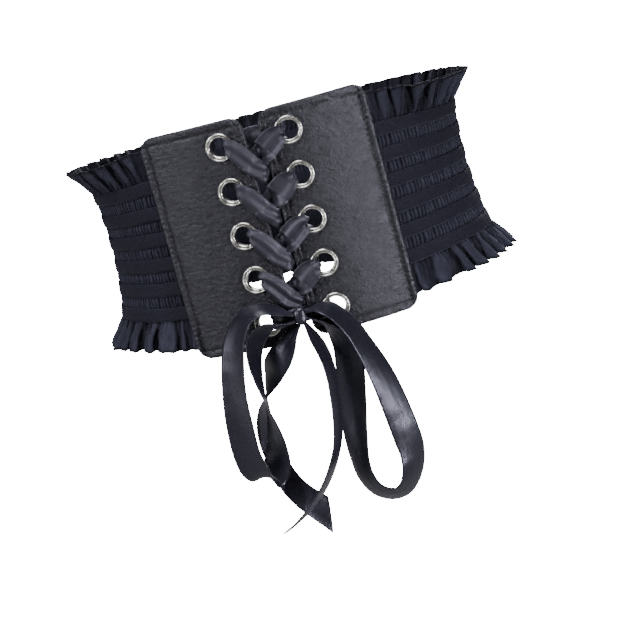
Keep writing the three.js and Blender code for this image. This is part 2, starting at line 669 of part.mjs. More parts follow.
const BOW_TAIL_RIGHT = [
  { across: 0, down: 0, out: 0, knotAcross: 0.49, knotDown: 0.92, heading: -150, turn: 84, width: 0.36 },
  { across: 0.120, down: 0.105, out: 0.14, heading: -158, turn: 76, width: 0.85 },
  { across: 0.196, down: 0.192, out: 0.31, heading: -172, turn: 75, width: 1 },
  { across: 0.218, down: 0.277, out: 0.42, heading: -178, turn: 75, width: 1 },
  { across: 0.204, down: 0.354, out: 0.47, heading: -184, turn: 75, width: 1 },
  { across: 0.164, down: 0.462, out: 0.50, heading: -190, turn: 75, width: 1 },
  { across: 0.076, down: 0.592, out: 0.50, heading: -203, turn: 75, width: 1 },
  { across: -0.053, down: 0.689, out: 0.50, heading: -214, turn: 74, width: 1 },
  { across: -0.222, down: 0.777, out: 0.47, heading: -222, turn: 73, width: 1 },
  { across: -0.422, down: 0.854, out: 0.42, heading: -229, turn: 73, width: 1 },
  { across: -0.644, down: 0.915, out: 0.36, heading: -235, turn: 75, width: 1 },
  { across: -0.800, down: 0.948, out: 0.32, heading: -238, turn: 76, width: 1 },
];

// A free ribbon through the stations of a table, smoothed between them
function freeRibbon(table, slant) {
  const spots = new THREE.CatmullRomCurve3(table.map((row) => new THREE.Vector3(
    row.across * BOW_REACH + (row.knotAcross ?? 0) * KNOT_WIDTH / 2,
    -row.out * RIBBON_WIDTH,
    -row.down * BOW_DROP - (row.knotDown ?? 0) * KNOT_HEIGHT / 2,
  )), false, 'centripetal');
  const turns = new THREE.CatmullRomCurve3(table.map(({ heading, turn, width }) => new THREE.Vector3(
    heading, turn, width,
  )), false, 'catmullrom', 0.5);
  const steps = 2 * (table.length - 1);
  const stations = spaced(0, 1, steps).map((share) => {
    const centre = spots.getPoint(share).add(knotCentre);
    const run = spots.getTangent(share);
    const aim = turns.getPoint(share);
    const heading = THREE.MathUtils.degToRad(aim.x);
    const turn = THREE.MathUtils.degToRad(aim.y);
    const acrossLine = new THREE.Vector3(
      Math.cos(turn) * Math.cos(heading), -Math.sin(turn), Math.cos(turn) * Math.sin(heading),
    );
    acrossLine.addScaledVector(run, -acrossLine.dot(run)).normalize();
    const outwards = new THREE.Vector3().crossVectors(run, acrossLine);
    return { centre, run, acrossLine, outwards, width: aim.z * RIBBON_WIDTH };
  });
  const sheet = (face) => [-0.5, 0.5].map((edge) => stations.map((station, at) => station.centre.clone()
    .addScaledVector(station.acrossLine, edge * station.width)
    .addScaledVector(station.run, at === steps ? edge * slant : 0)
    .addScaledVector(station.outwards, face * halfRibbon)));
  return wall(sheet(1), sheet(-1));
}

addPiece('bow_loop_left', freeRibbon(BOW_LOOP_LEFT, 0), satin);
addPiece('bow_loop_right', freeRibbon(BOW_LOOP_RIGHT, 0), satin);
addPiece('bow_tail_left', freeRibbon(BOW_TAIL_LEFT, TAIL_SLANT), satin);
addPiece('bow_tail_right', freeRibbon(BOW_TAIL_RIGHT, TAIL_SLANT), satin);

export default belt;
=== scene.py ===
# %% [markdown]
# # A wide elastic waist belt
# The belt is two leather panels laced together in front, with a shirred elastic band round the back.
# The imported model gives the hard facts: where each piece sits and how big it is.
# This lesson dresses that model: fine gathers, ribbed tapes, ruffles, stitched leather, metal eyelets
# and satin ribbon. Everything is in metres, with the belt's axis along Z and its front towards -Y.

import math

import bmesh
import bpy
import numpy as np
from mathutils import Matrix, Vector


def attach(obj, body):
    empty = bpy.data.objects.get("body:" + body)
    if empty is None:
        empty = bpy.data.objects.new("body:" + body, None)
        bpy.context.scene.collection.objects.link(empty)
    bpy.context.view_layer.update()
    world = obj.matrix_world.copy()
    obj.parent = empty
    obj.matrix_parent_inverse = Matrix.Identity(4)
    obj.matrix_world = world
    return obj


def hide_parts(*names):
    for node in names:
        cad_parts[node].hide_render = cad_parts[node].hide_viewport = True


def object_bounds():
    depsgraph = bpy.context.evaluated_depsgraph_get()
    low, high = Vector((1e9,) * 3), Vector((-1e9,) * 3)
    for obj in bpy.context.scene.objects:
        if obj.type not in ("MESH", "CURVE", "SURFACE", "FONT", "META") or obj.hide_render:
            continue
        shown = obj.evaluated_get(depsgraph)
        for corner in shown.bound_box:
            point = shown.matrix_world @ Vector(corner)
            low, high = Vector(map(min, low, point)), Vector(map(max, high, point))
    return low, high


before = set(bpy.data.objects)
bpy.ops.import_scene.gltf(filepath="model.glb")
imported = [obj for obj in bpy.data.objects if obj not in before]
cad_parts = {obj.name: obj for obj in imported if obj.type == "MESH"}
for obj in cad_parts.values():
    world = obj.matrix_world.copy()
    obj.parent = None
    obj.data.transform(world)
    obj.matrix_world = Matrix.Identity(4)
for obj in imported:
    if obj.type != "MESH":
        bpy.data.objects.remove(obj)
cad_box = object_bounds()
MM = 0.001
print("nodes in the packed model:", len(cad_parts))

# %% [markdown]
# The camera comes first, so that each later piece can be judged in the right view. The belt leans in the
# picture because the camera is rolled; the belt itself stands upright. A long lens keeps the sides from
# swelling.

# %% Camera
CAMERA_AZIMUTH = math.radians(6.2)
CAMERA_ELEVATION = math.radians(7.0)
CAMERA_DISTANCE = 1.065
CAMERA_ROLL = math.radians(15.3)
LOOK_AT = Vector((0, 0, -0.0775))
LENS_MM = 92.8


def put(name, data):
    """A new object in the scene, at the origin."""
    thing = bpy.data.objects.new(name, data)
    bpy.context.scene.collection.objects.link(thing)
    return thing


def look(thing, spot, target):
    thing.location = spot
    thing.rotation_euler = (target - spot).to_track_quat("-Z", "Y").to_euler()


def round_the_belt(azimuth, elevation, distance):
    flat = math.cos(elevation) * distance
    return Vector((math.sin(azimuth) * flat, -math.cos(azimuth) * flat, math.sin(elevation) * distance))


camera = put("camera", bpy.data.cameras.new("camera"))
camera.data.lens = LENS_MM
look(camera, round_the_belt(CAMERA_AZIMUTH, CAMERA_ELEVATION, CAMERA_DISTANCE), LOOK_AT)
camera.rotation_euler.rotate_axis("Z", -CAMERA_ROLL)
bpy.context.scene.camera = camera
print("camera stands", round(CAMERA_DISTANCE, 3), "m away")

# %% [markdown]
# Finishes and shapes are both made of small nodes wired together. One helper adds a node, sets its
# options and feeds its sockets. What comes out is a field: adding or multiplying fields adds the Math
# nodes that do it, so each rule below reads like a formula.

# %% A helper that wires nodes
class Field:
    """What one output of a node gives."""

    def __init__(self, tree, socket):
        self.tree = tree
        self.socket = socket

    def beside(self, name):
        """Another output of the same node."""
        return Field(self.tree, self.socket.node.outputs[name])

    def math(self, operation, *values):
        return wire(self.tree, "ShaderNodeMath", dict(enumerate((self, *values))), operation=operation)

    def __add__(self, other):
        return self.math("ADD", other)

    def __sub__(self, other):
        return self.math("SUBTRACT", other)

    def __mul__(self, other):
        return self.math("MULTIPLY", other)

    def __truediv__(self, other):
        return self.math("DIVIDE", other)

    def __pow__(self, other):
        return self.math("POWER", other)

    def __rsub__(self, other):
        return self.math("MULTIPLY_ADD", -1.0, other)

    __radd__ = __add__
    __rmul__ = __mul__


def wire(tree, kind, sockets=None, output=0, **options):
    """Adds one node; the values of its sockets are fields or constants."""
    node = tree.nodes.new(kind)
    for option, value in options.items():
        setattr(node, option, value)
    for name, value in (sockets or {}).items():
        if isinstance(value, Field):
            tree.links.new(value.socket, node.inputs[name])
        else:
            node.inputs[name].default_value = value
    return Field(tree, node.outputs[output])


# %% [markdown]
# A plain white room: a pale floor well below the belt, an even sky and five soft lights. Two of them are
# small and strong, one on each side in front, because a small light draws the grain of black leather.
# The backdrop looks pure white to the camera only, so it doesn't flood the belt with light.

# %% Floor, sky and soft lights
FLOOR_SIZE = 12.0
FLOOR_DROP = 0.12
FLOOR_TONE = 0.25
FLOOR_ROUGHNESS = 0.9
SKY_STRENGTH = 0.09
BACKDROP_STRENGTH = 30.0
WHITE = (1, 1, 1, 1)

floor_level = cad_box[0].z - FLOOR_DROP
bpy.ops.mesh.primitive_plane_add(size=FLOOR_SIZE, location=(0, 0, floor_level))
floor = bpy.context.object
floor.name = "floor"
paper = bpy.data.materials.new("white_paper")
sky = bpy.data.worlds.new("white_room")


def bright_to_the_camera(tree, lit, glow_kind, output):
    """The camera sees pure white, while everything else gets the soft light of the lit shader."""
    glow = wire(tree, glow_kind, {"Color": WHITE, "Strength": BACKDROP_STRENGTH})
    seen = wire(tree, "ShaderNodeLightPath", output="Is Camera Ray")
    either = wire(tree, "ShaderNodeMixShader", {0: seen, 1: Field(tree, lit.outputs[0]), 2: glow})
    tree.links.new(either.socket, tree.nodes[output].inputs[0])


paper.use_nodes = True
matte = paper.node_tree.nodes["Principled BSDF"]
matte.inputs["Base Color"].default_value = (FLOOR_TONE, FLOOR_TONE, FLOOR_TONE, 1)
matte.inputs["Roughness"].default_value = FLOOR_ROUGHNESS
bright_to_the_camera(paper.node_tree, matte, "ShaderNodeEmission", "Material Output")
floor.data.materials.append(paper)

bpy.context.scene.world = sky
sky.use_nodes = True
daylight = sky.node_tree.nodes["Background"]
daylight.inputs["Color"].default_value = WHITE
daylight.inputs["Strength"].default_value = SKY_STRENGTH
bright_to_the_camera(sky.node_tree, daylight, "ShaderNodeBackground", "World Output")

SOFT_LIGHTS = [
    # name, degrees round, degrees up, metres away, side in metres, watts
    ("key_light", -47, 24, 1.6, 0.28, 21),
    ("side_light", 44, -4, 1.6, 0.22, 30),
    ("top_light", 5, 68, 1.3, 0.8, 22),
    ("low_light", -70, -12, 1.7, 0.6, 5),
    ("back_light", 172, 34, 1.8, 0.8, 34),
]
for name, azimuth, elevation, distance, side, watts in SOFT_LIGHTS:
    lamp = put(name, bpy.data.lights.new(name, "AREA"))
    lamp.data.size = side
    lamp.data.energy = watts
    look(lamp, round_the_belt(math.radians(azimuth), math.radians(elevation), distance), Vector((0, 0, 0)))
print("lights:", ", ".join(row[0] for row in SOFT_LIGHTS))

# %% [markdown]
# Every piece of the belt lies on one oval: so far along it from the front centre, so high, and so far out
# from the waist. Working with those three numbers is like working on the belt laid flat on a table. The
# oval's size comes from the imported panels, and the waist opening inside it.

# %% The belt laid flat: along, height and out
HOLLOW_HALF_WIDTH = 115 * MM
HOLLOW_HALF_DEPTH = 82 * MM
PANEL_WIDTH = 67.5 * MM
LACING_GAP = 9 * MM
CLOTH_THICKNESS = 1 * MM
GATHER_RELIEF = 0.8 * MM
TAPE_BACK = 2.52 * MM
TAPE_FRONT = TAPE_BACK + 0.8 * MM
PANEL_BACK = TAPE_FRONT + 0.47 * MM
PANEL_THICKNESS = 2.5 * MM
PANEL_FRONT = PANEL_BACK + PANEL_THICKNESS
PANEL_MIDDLE = (PANEL_BACK + PANEL_FRONT) / 2
HIP_FLARE = 6.5 * MM
NARROWEST_HEIGHT = 10 * MM
SHAPE_FADE = 60 * MM
ELASTIC_HEIGHT = 88 * MM
SIDE_NARROWING = 0.07
PANEL_OVERLAP = 8 * MM
PLAN_POINTS = 1440

turn = np.linspace(-math.pi / 2, 1.5 * math.pi, PLAN_POINTS + 1)
half_width, half_depth = HOLLOW_HALF_WIDTH + PANEL_MIDDLE, HOLLOW_HALF_DEPTH + PANEL_MIDDLE
plan = np.column_stack([half_width * np.cos(turn), half_depth * np.sin(turn)])
plan_lengths = np.concatenate([[0], np.cumsum(np.linalg.norm(np.diff(plan, axis=0), axis=1))])
loop_length = float(plan_lengths[-1])
panel_inner_edge = LACING_GAP / 2
panel_outer_edge = panel_inner_edge + PANEL_WIDTH
elastic_start = panel_outer_edge - PANEL_OVERLAP
elastic_length = loop_length - 2 * elastic_start


def smooth(value, low, high):
    share = np.clip((value - low) / (high - low), 0, 1)
    return share * share * (3 - 2 * share)


def past_panel(along):
    onward = np.mod(along, loop_length)
    return np.minimum(onward, loop_length - onward) - panel_outer_edge


def place(along, height, out):
    """Points of the belt, from arrays or numbers of along, height and out in metres."""
    along, height, out = np.broadcast_arrays(*(np.asarray(v, float) for v in (along, height, out)))
    angle = np.interp(np.mod(along, loop_length), plan_lengths, turn)
    way = np.stack([-half_width * np.sin(angle), half_depth * np.cos(angle)], -1)
    way /= np.linalg.norm(way, axis=-1, keepdims=True)
    lowest = ELASTIC_HEIGHT / 2 + NARROWEST_HEIGHT
    flare = smooth(past_panel(along), 0, SHAPE_FADE) * HIP_FLARE * ((height - NARROWEST_HEIGHT) / lowest) ** 2
    push = out - PANEL_MIDDLE + flare
    x = half_width * np.cos(angle) + way[..., 1] * push
    y = half_depth * np.sin(angle) - way[..., 0] * push
    return np.stack([x, y, height], -1)


def outward(along):
    """The level direction that points away from the waist."""
    return place(along, 0, PANEL_FRONT + MM) - place(along, 0, PANEL_FRONT)


print("the belt is", round(loop_length, 3), "m round, of which", round(elastic_length, 3), "m is elastic")
# %% [markdown]
# Six finishes follow. Each starts from the same few patterns: a speckle of noise, a blend of two
# colours, a value stretched to a range, and a bump that is drawn by shading alone.

# %% Patterns for the finishes
def mark(tree, name, output="Fac"):
    """A number or vector that the mesh itself carries at every point."""
    return wire(tree, "ShaderNodeAttribute", output=output, attribute_name=name)


def speckle(vector, scale, detail=3.0, roughness=0.55):
    sockets = {"Vector": vector, "Scale": scale, "Detail": detail, "Roughness": roughness}
    return wire(vector.tree, "ShaderNodeTexNoise", sockets, "Fac")


def bands(vector, scale, distortion, direction="X", **more):
    sockets = {"Vector": vector, "Scale": scale, "Distortion": distortion, **more}
    return wire(vector.tree, "ShaderNodeTexWave", sockets, "Fac", bands_direction=direction)


def stretched(vector, *scale):
    return wire(vector.tree, "ShaderNodeMapping", {"Vector": vector, "Scale": scale})


def between(share, low, high):
    return wire(share.tree, "ShaderNodeMapRange", {"Value": share, "To Min": low, "To Max": high})


def tinted(share, first, second):
    first, second = (c if isinstance(c, Field) else (*c, 1) for c in (first, second))
    return wire(share.tree, "ShaderNodeMix", {0: share, 6: first, 7: second}, 2, data_type="RGBA")


def raised(height, distance, strength=1.0, under=None):
    sockets = {"Height": height, "Distance": distance, "Strength": strength}
    if under is not None:
        sockets["Normal"] = under
    return wire(height.tree, "ShaderNodeBump", sockets)


def spot_in(tree):
    """Where a point is on the object, in metres."""
    return wire(tree, "ShaderNodeTexCoord", output="Object")


def finish_of(name, fixed):
    """A new material and its tree; fixed holds the numbers that are the same all over."""
    material = bpy.data.materials.new(name)
    material.use_nodes = True
    shader = material.node_tree.nodes["Principled BSDF"]
    for socket, value in fixed.items():
        shader.inputs[socket].default_value = value
    return material, material.node_tree


def feed(tree, colour, roughness, normal):
    shader = tree.nodes["Principled BSDF"]
    for name, value in (("Base Color", colour), ("Roughness", roughness), ("Normal", normal)):
        tree.links.new(value.socket, shader.inputs[name])


# %% [markdown]
# The panels are black leather with a fine grain: small rounded cells with creases between them. A
# Voronoi texture gives the cells and a noise gives the creases. The mesh carries two attributes: one for
# the lighter edges, partly rubbed wear and partly painted highlight, with painted highlight on the bead,
# and one called seam for the painted shade in the groove of each seam.

# %% Pebbled leather
GRAIN_CELLS = 800.0
GRAIN_CREASES = 430.0
leather, tree = finish_of("pebbled_leather", {
    "Specular IOR Level": 0.44, "Specular Tint": (0.84, 0.84, 1.0, 1)})
drawn = stretched(mark(tree, "lay", "Vector"), 0.62, 1.0, 1.0)
cells = wire(tree, "ShaderNodeTexVoronoi", {"Vector": drawn, "Scale": GRAIN_CELLS, "Randomness": 0.95},
             "Distance", feature="DISTANCE_TO_EDGE")
creases = speckle(drawn, GRAIN_CREASES, 5.0, 0.6)
black = tinted(creases, (0.0008, 0.0008, 0.0014), (0.0066, 0.0066, 0.0086))
# Lighter at the panel's edges and on its bead: partly rubbed wear, partly painted highlight where the rolled
# edges and the bead catch the light.
black = tinted(mark(tree, "wear_and_highlight"), black, (0.022, 0.022, 0.027))
# Painted shade: the grooves of the seams are darkened in the colour.
black = tinted(mark(tree, "seam"), black, (0.0006, 0.0006, 0.0009))
grain = raised(cells.math("MINIMUM", 0.3), 0.00042, 1.0, raised(creases, 0.00072))
feed(tree, black, between(creases, 0.29, 0.43), grain)

# %% [markdown]
# The eyelets are nickel: a bright metal with faint handling scratches. Metal needs no colour tricks. What
# makes it look real is a roughness that changes over the surface.

# %% Nickel
nickel, tree = finish_of("nickel", {"Metallic": 1.0})
spot = spot_in(tree)
smudges = speckle(spot, 240.0)
scratches = speckle(stretched(spot, 1, 1, 9), 700.0)
feed(tree, tinted(smudges, (0.44, 0.43, 0.41), (0.66, 0.65, 0.63)), between(smudges, 0.14, 0.34),
     raised(scratches, 0.0002, 0.25))

# %% [markdown]
# The gathered cloth and the ruffles are the same dull black crepe, with a hint of blue. Crepe has a fine
# crinkle and a soft sheen at grazing angles. Its pattern reads the cloth's own flat coordinates, kept in
# an attribute called lay, so the threads bend with every fold. Other attributes say where painted shade
# darkens the cloth deep between pleats, where a painted highlight lightens its crests, and where its hem
# runs.

# %% Crepe
DULL_CLOTH = {"Sheen Roughness": 0.4, "Sheen Tint": (0.60, 0.60, 0.85, 1), "Specular IOR Level": 0.22,
              "Specular Tint": (0.74, 0.74, 1.0, 1)}
crepe, tree = finish_of("crepe", {"Sheen Weight": 0.07, **DULL_CLOTH})
lay = mark(tree, "lay", "Vector")
threads = bands(lay, 520.0, 1.5, Detail=2.0)
crinkle = speckle(lay, 1500.0, 4.0)
cloth = tinted(speckle(spot_in(tree), 70.0), (0.0036, 0.0036, 0.0062), (0.0086, 0.0086, 0.0140))
cloth = tinted(crinkle * 0.5, cloth, (0.013, 0.0138, 0.024))
# Painted highlight: the crests of pleats and folds are lightened in the colour.
cloth = tinted(mark(tree, "crest"), cloth, (0.021, 0.0215, 0.034))
cloth = tinted(mark(tree, "hem"), cloth, (0.0015, 0.0015, 0.0025))
# Painted shade: the cloth is darkened deep between pleats and folds.
cloth = tinted(mark(tree, "valley"), cloth, (0.0005, 0.0005, 0.0010))
feed(tree, cloth, between(crinkle, 0.62, 0.92), raised(threads, 0.00025, 0.5, raised(crinkle, 0.0006, 0.6)))

# %% [markdown]
# The elastic tapes are woven over rubber cores. Seen close, fine lines run along each tape and faint
# ribs cross them. The tape is as dull as the crepe beside it, and a little darker.

# %% Ribbed elastic tape
ribbed, tree = finish_of("ribbed_tape", {"Sheen Weight": 0.06, **DULL_CLOTH})
lay = mark(tree, "lay", "Vector")
ribs = bands(lay, 300.0, 2.0)
lines = bands(lay, 330.0, 0.8, "Y")
fuzz = speckle(spot_in(tree), 900.0)
tape_black = tinted(lines, (0.0028, 0.0028, 0.0050), (0.0068, 0.0068, 0.0115))
tape_black = tinted(fuzz * 0.3, tape_black, (0.012, 0.0128, 0.022))
feed(tree, tape_black, between(fuzz, 0.5, 0.85), raised(lines, 0.0004, 0.7, raised(ribs, 0.0002, 0.4)))

# %% [markdown]
# Satin is smooth one way and threaded the other, so its highlight spreads along the ribbon. Fine warp
# lines, a low roughness and a little anisotropy give that, and a broad, soft bump keeps the ribbon from
# looking ironed. A Layer Weight node mixes a painted bluish sheen into the colour where the ribbon turns
# away. Where the ribbon is pulled tight in the lacing it shines less.

# %% Satin
satin, tree = finish_of("slate_satin", {
    "Sheen Weight": 0.05, "Sheen Roughness": 0.3, "Sheen Tint": (0.62, 0.62, 0.85, 1), "Anisotropic": 0.4,
    "Specular Tint": (0.80, 0.79, 1.0, 1), "Specular IOR Level": 0.60})
TIGHT_DULLNESS = 0.17
lay = mark(tree, "lay", "Vector")
warp = speckle(stretched(lay, 1, 14, 1), 260.0, 4.0)
weft = bands(lay, 700.0, 1.0)
slack = raised(speckle(stretched(lay, 1, 0.4, 1), 55.0, 1.0), 0.0014)
facing = wire(tree, "ShaderNodeLayerWeight", {"Blend": 0.35}, "Facing")
slate = tinted(speckle(spot_in(tree), 60.0, 2.0), (0.0032, 0.0031, 0.0050), (0.0070, 0.0068, 0.0106))
# Painted sheen: a bluish lift mixed into the colour where the ribbon turns away from the view.
slate = tinted(facing * 0.7, slate, (0.015, 0.0145, 0.026))
slate = tinted(mark(tree, "hem"), slate, (0.005, 0.005, 0.008))
feed(tree, slate, mark(tree, "tight") * TIGHT_DULLNESS + between(warp, 0.25, 0.38),
     raised(weft, 0.0001, 0.25, raised(warp, 0.00025, 0.3, slack)))

# %% [markdown]
# The sewing thread is black too, with a tight twist that catches a little light.

# %% Sewing thread
thread, tree = finish_of("sewing_thread", {"Specular IOR Level": 0.3})
twist = speckle(spot_in(tree), 1600.0, 2.0)
feed(tree, tinted(twist, (0.001, 0.001, 0.0015), (0.007, 0.007, 0.009)), between(twist, 0.45, 0.7),
     raised(twist, 0.0002, 0.5))
print("finishes:", ", ".join(m.name for m in (leather, nickel, crepe, ribbed, satin, thread)))

# %% [markdown]
# A round piece is rings of points, each joined to the next.
# A thin piece such as a panel or a ribbon is two surfaces with a rim between them. The helper takes the
# front and the back as grids of points, drops the faces of any holes, and closes every open edge, so the
# result is one shut body.

# %% Meshes from rings and from grids
def plain_mesh(name, points, edges=(), faces=()):
    mesh = bpy.data.meshes.new(name)
    mesh.from_pydata(points, list(edges), list(faces))
    return mesh


def ring_faces(rows, columns, closed):
    """Faces between neighbouring rows of points that each run round a ring; closed joins the last row."""
    faces = []
    for row in range(rows if closed else rows - 1):
        start, onward = row * columns, (row + 1) % rows * columns
        for k in range(columns):
            beside = (k + 1) % columns
            faces.append((start + k, onward + k, onward + beside, start + beside))
    return faces


def shut_shell(name, front, back, finish, marks, keep=None):
    """front and back are (rows, columns, 3); keep says which faces stay; marks are numbers per point."""
    rows, columns = front.shape[:2]
    shift = rows * columns
    index = np.arange(shift).reshape(rows, columns)
    quads = np.stack([index[:-1, :-1], index[:-1, 1:], index[1:, 1:], index[1:, :-1]], -1).reshape(-1, 4)
    if keep is not None:
        quads = quads[keep.ravel()]
    sides = np.stack([quads, np.roll(quads, -1, 1)], -1).reshape(-1, 2)
    key = np.sort(sides, 1) @ np.array([shift, 1])
    _, first, count = np.unique(key, return_index=True, return_counts=True)
    open_sides = sides[first[count == 1]]
    a, b = open_sides.T
    rim = np.column_stack([b, a, a + shift, b + shift])
    faces = np.concatenate([quads, quads[:, ::-1] + shift, rim])
    points = np.concatenate([front.reshape(-1, 3), back.reshape(-1, 3)])
    corners = points[faces]
    volume = np.einsum("ij,ij->", corners[:, 0], np.cross(corners[:, 1], corners[:, 2]))
    volume += np.einsum("ij,ij->", corners[:, 0], np.cross(corners[:, 2], corners[:, 3]))
    if volume < 0:
        faces = faces[:, ::-1]
    used, fresh = np.unique(faces, return_inverse=True)
    mesh = plain_mesh(name, points[used].tolist(), faces=fresh.reshape(-1, 4).tolist())
    mesh.shade_smooth()
    for label, values in marks.items():
        values = np.concatenate([values.reshape(shift, -1)] * 2)[used]
        kind, field = ("FLOAT_VECTOR", "vector") if values.shape[1] == 3 else ("FLOAT", "value")
        mesh.attributes.new(label, kind, "POINT").data.foreach_set(field, values.astype(np.float32).ravel())
    mesh.materials.append(finish)
    return put(name, mesh)


# %% [markdown]
# Each panel is a rounded rectangle of leather bent to the oval. Its edges are folded over and soft, its
# side edge carries a padded bead, and sewing pulls a shallow groove along every seam, with puckers
# between the stitches. All of that is one height map over the flat panel, so the mesh follows a few
# plain rules instead of being sculpted by hand.

# %% Height map of a panel
PANEL_HEIGHT = 139.5 * MM
PANEL_CORNER = 9 * MM
EDGE_ROUND = 1.5 * MM
BEAD_WIDTH = 4.6 * MM
BEAD_RISE = 1.3 * MM
SEAM_INSET = 5.2 * MM
INNER_SEAMS = (2.6 * MM, 5.2 * MM)
SEAM_DEPTH = 0.55 * MM
SEAM_WIDTH = 0.75 * MM
OUTER_SEAM = PANEL_WIDTH - BEAD_WIDTH - 0.6 * MM
SEAM_PUCKER = 0.20 * MM
LEATHER_WAVES = 0.28 * MM
EYELET_DENT = 0.35 * MM
STITCH_PITCH = 3.1 * MM
EYELET_SPREAD = 0.78
EYELET_INSET = 16.4 * MM
EYELETS_PER_PANEL = 5
EYELET_PITCH = EYELET_SPREAD * PANEL_HEIGHT / (EYELETS_PER_PANEL - 1)
PANEL_HOLE = 6.9 * MM
FLANGE_RADIUS = 8.8 * MM
LEATHER_STEP = 0.8 * MM

eyelet_heights = [EYELET_PITCH * ((EYELETS_PER_PANEL - 1) / 2 - row) for row in range(EYELETS_PER_PANEL)]


def panel_edge_distance(across, height):
    """How far a place on the flat panel is from its outline."""
    side = np.abs(across - PANEL_WIDTH / 2) - (PANEL_WIDTH / 2 - PANEL_CORNER)
    end = np.abs(height) - (PANEL_HEIGHT / 2 - PANEL_CORNER)
    beyond = np.hypot(np.maximum(side, 0), np.maximum(end, 0)) + np.minimum(np.maximum(side, end), 0)
    return PANEL_CORNER - beyond


def ripple(across, height, seed):
    """A slow unevenness, from a few waves in fixed directions."""
    dice = np.random.default_rng(seed)
    total = 0
    for _ in range(7):
        heading, wavelength, start = dice.uniform(0, math.pi), dice.uniform(14, 46) * MM, dice.uniform(0, 6.3)
        run = across * math.cos(heading) + height * math.sin(heading)
        total = total + np.sin(2 * math.pi * run / wavelength + start)
    return total / 7


def pucker(run, seed):
    """Small swellings between the stitches, uneven from one to the next."""
    return (0.5 + 0.5 * np.cos(2 * math.pi * run / STITCH_PITCH)) * (0.75 + 0.5 * ripple(run, run * 0, seed))


def panel_relief(across, height, seed):
    edge = panel_edge_distance(across, height)
    drop = EDGE_ROUND - np.sqrt(np.maximum(EDGE_ROUND**2 - np.maximum(EDGE_ROUND - edge, 0) ** 2, 0))
    relief = -drop + LEATHER_WAVES * ripple(across, height, seed)
    bead_place = (PANEL_WIDTH - across - BEAD_WIDTH / 2) / (BEAD_WIDTH / 2)
    bead = np.sqrt(np.maximum(1 - bead_place**2, 0)) * smooth(edge, 0, EDGE_ROUND)
    relief += bead * BEAD_RISE * (0.85 + 0.3 * pucker(height, seed + 1))
    seams = [
        (np.abs(height) - (PANEL_HEIGHT / 2 - SEAM_INSET), across),
        (OUTER_SEAM - across, height),
        *((across - inset, height) for inset in INNER_SEAMS),
    ]
    groove = 0
    for number, (off, run) in enumerate(seams):
        near = np.exp(-((off / SEAM_WIDTH) ** 2))
        wide = np.exp(-((off / (3.2 * SEAM_WIDTH)) ** 2))
        relief -= near * SEAM_DEPTH
        groove = np.maximum(groove, near)
        relief += wide * SEAM_PUCKER * (pucker(run, seed + 3 + number) - 0.5)
    for centre in eyelet_heights:
        away = np.hypot(across - EYELET_INSET, height - centre)
        relief -= EYELET_DENT * np.exp(-np.maximum(away - FLANGE_RADIUS + 0.8 * MM, 0) / (1.6 * MM))
    return relief, edge, bead, groove


def leather_steps(length):
    """Places along one side of a panel, closer together at its two edges."""
    rim = np.array([0, 0.1, 0.22, 0.36, 0.54, 0.76, 1]) * EDGE_ROUND
    middle = np.linspace(rim[-1], length - rim[-1], int(length / LEATHER_STEP))
    return np.concatenate([rim[:-1], middle, length - rim[-2::-1]])


def make_panel(name, side, seed):
    share = leather_steps(PANEL_WIDTH) / PANEL_WIDTH
    heights = leather_steps(PANEL_HEIGHT) - PANEL_HEIGHT / 2
    rise = np.maximum(np.abs(heights) - (PANEL_HEIGHT / 2 - PANEL_CORNER), 0)
    inset = PANEL_CORNER - np.sqrt(np.maximum(PANEL_CORNER**2 - rise**2, 0))
    across = inset[:, None] + share[None, :] * (PANEL_WIDTH - 2 * inset[:, None])
    height = np.broadcast_to(heights[:, None], across.shape).copy()
    inside = np.zeros(across.shape, bool)
    for centre in eyelet_heights:  # the leather is cut away where an eyelet goes through
        inside |= np.hypot(across - EYELET_INSET, height - centre) < PANEL_HOLE
    gone = inside[:-1, :-1] & inside[1:, :-1] & inside[:-1, 1:] & inside[1:, 1:]
    corner = np.zeros(across.shape, bool)  # points inside a hole that a kept face still needs
    for down, right in ((0, 0), (0, 1), (1, 0), (1, 1)):
        kept = np.zeros(across.shape, bool)
        kept[down:across.shape[0] - 1 + down, right:across.shape[1] - 1 + right] = ~gone
        corner |= kept & inside
    for centre in eyelet_heights:
        off_x, off_z = across - EYELET_INSET, height - centre
        away = np.hypot(off_x, off_z)
        pull = corner & (away < PANEL_HOLE)
        stretch = PANEL_HOLE / np.maximum(away, 1e-9) - 1
        across[pull] += (off_x * stretch)[pull]
        height[pull] += (off_z * stretch)[pull]
    relief, edge, bead, groove = panel_relief(across, height, seed)
    along = side * (panel_inner_edge + across)
    front = place(along, height, PANEL_FRONT + relief)
    back = place(along, height, PANEL_BACK + 0.6 * MM * smooth(-edge, -EDGE_ROUND, 0))
    # Mask for the lighter edges (rubbed wear and painted highlight) and the painted highlight on the bead.
    wear_and_highlight = 0.65 * smooth(-edge, -1.3 * MM, 0.2 * MM) + 0.3 * bead
    lay = np.stack([across, height, across * 0], -1)
    # The seam mark carries the painted shade in the stitched grooves.
    marks = {"wear_and_highlight": np.clip(wear_and_highlight, 0, 1), "seam": groove, "lay": lay}
    piece = shut_shell(name, front, back, leather, marks, ~gone)
    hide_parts(name.replace("dressed_", ""))
    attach(piece, "root")
    return piece


panels = [make_panel("dressed_panel_left", -1, 11), make_panel("dressed_panel_right", 1, 23)]
print("faces of one panel:", len(panels[0].data.polygons))
# %% [markdown]
# Pieces that repeat or follow a path are made by Geometry Nodes: a tree of rules with named sizes. The
# modifier's inputs are filled in by their identifiers. The finished shape is then turned into a plain
# mesh, because a plain mesh can be measured, exported and reused.

# %% Helpers for Geometry Nodes
SOCKET_KINDS = {bpy.types.Object: "Object", bpy.types.Material: "Material", int: "Int", float: "Float"}


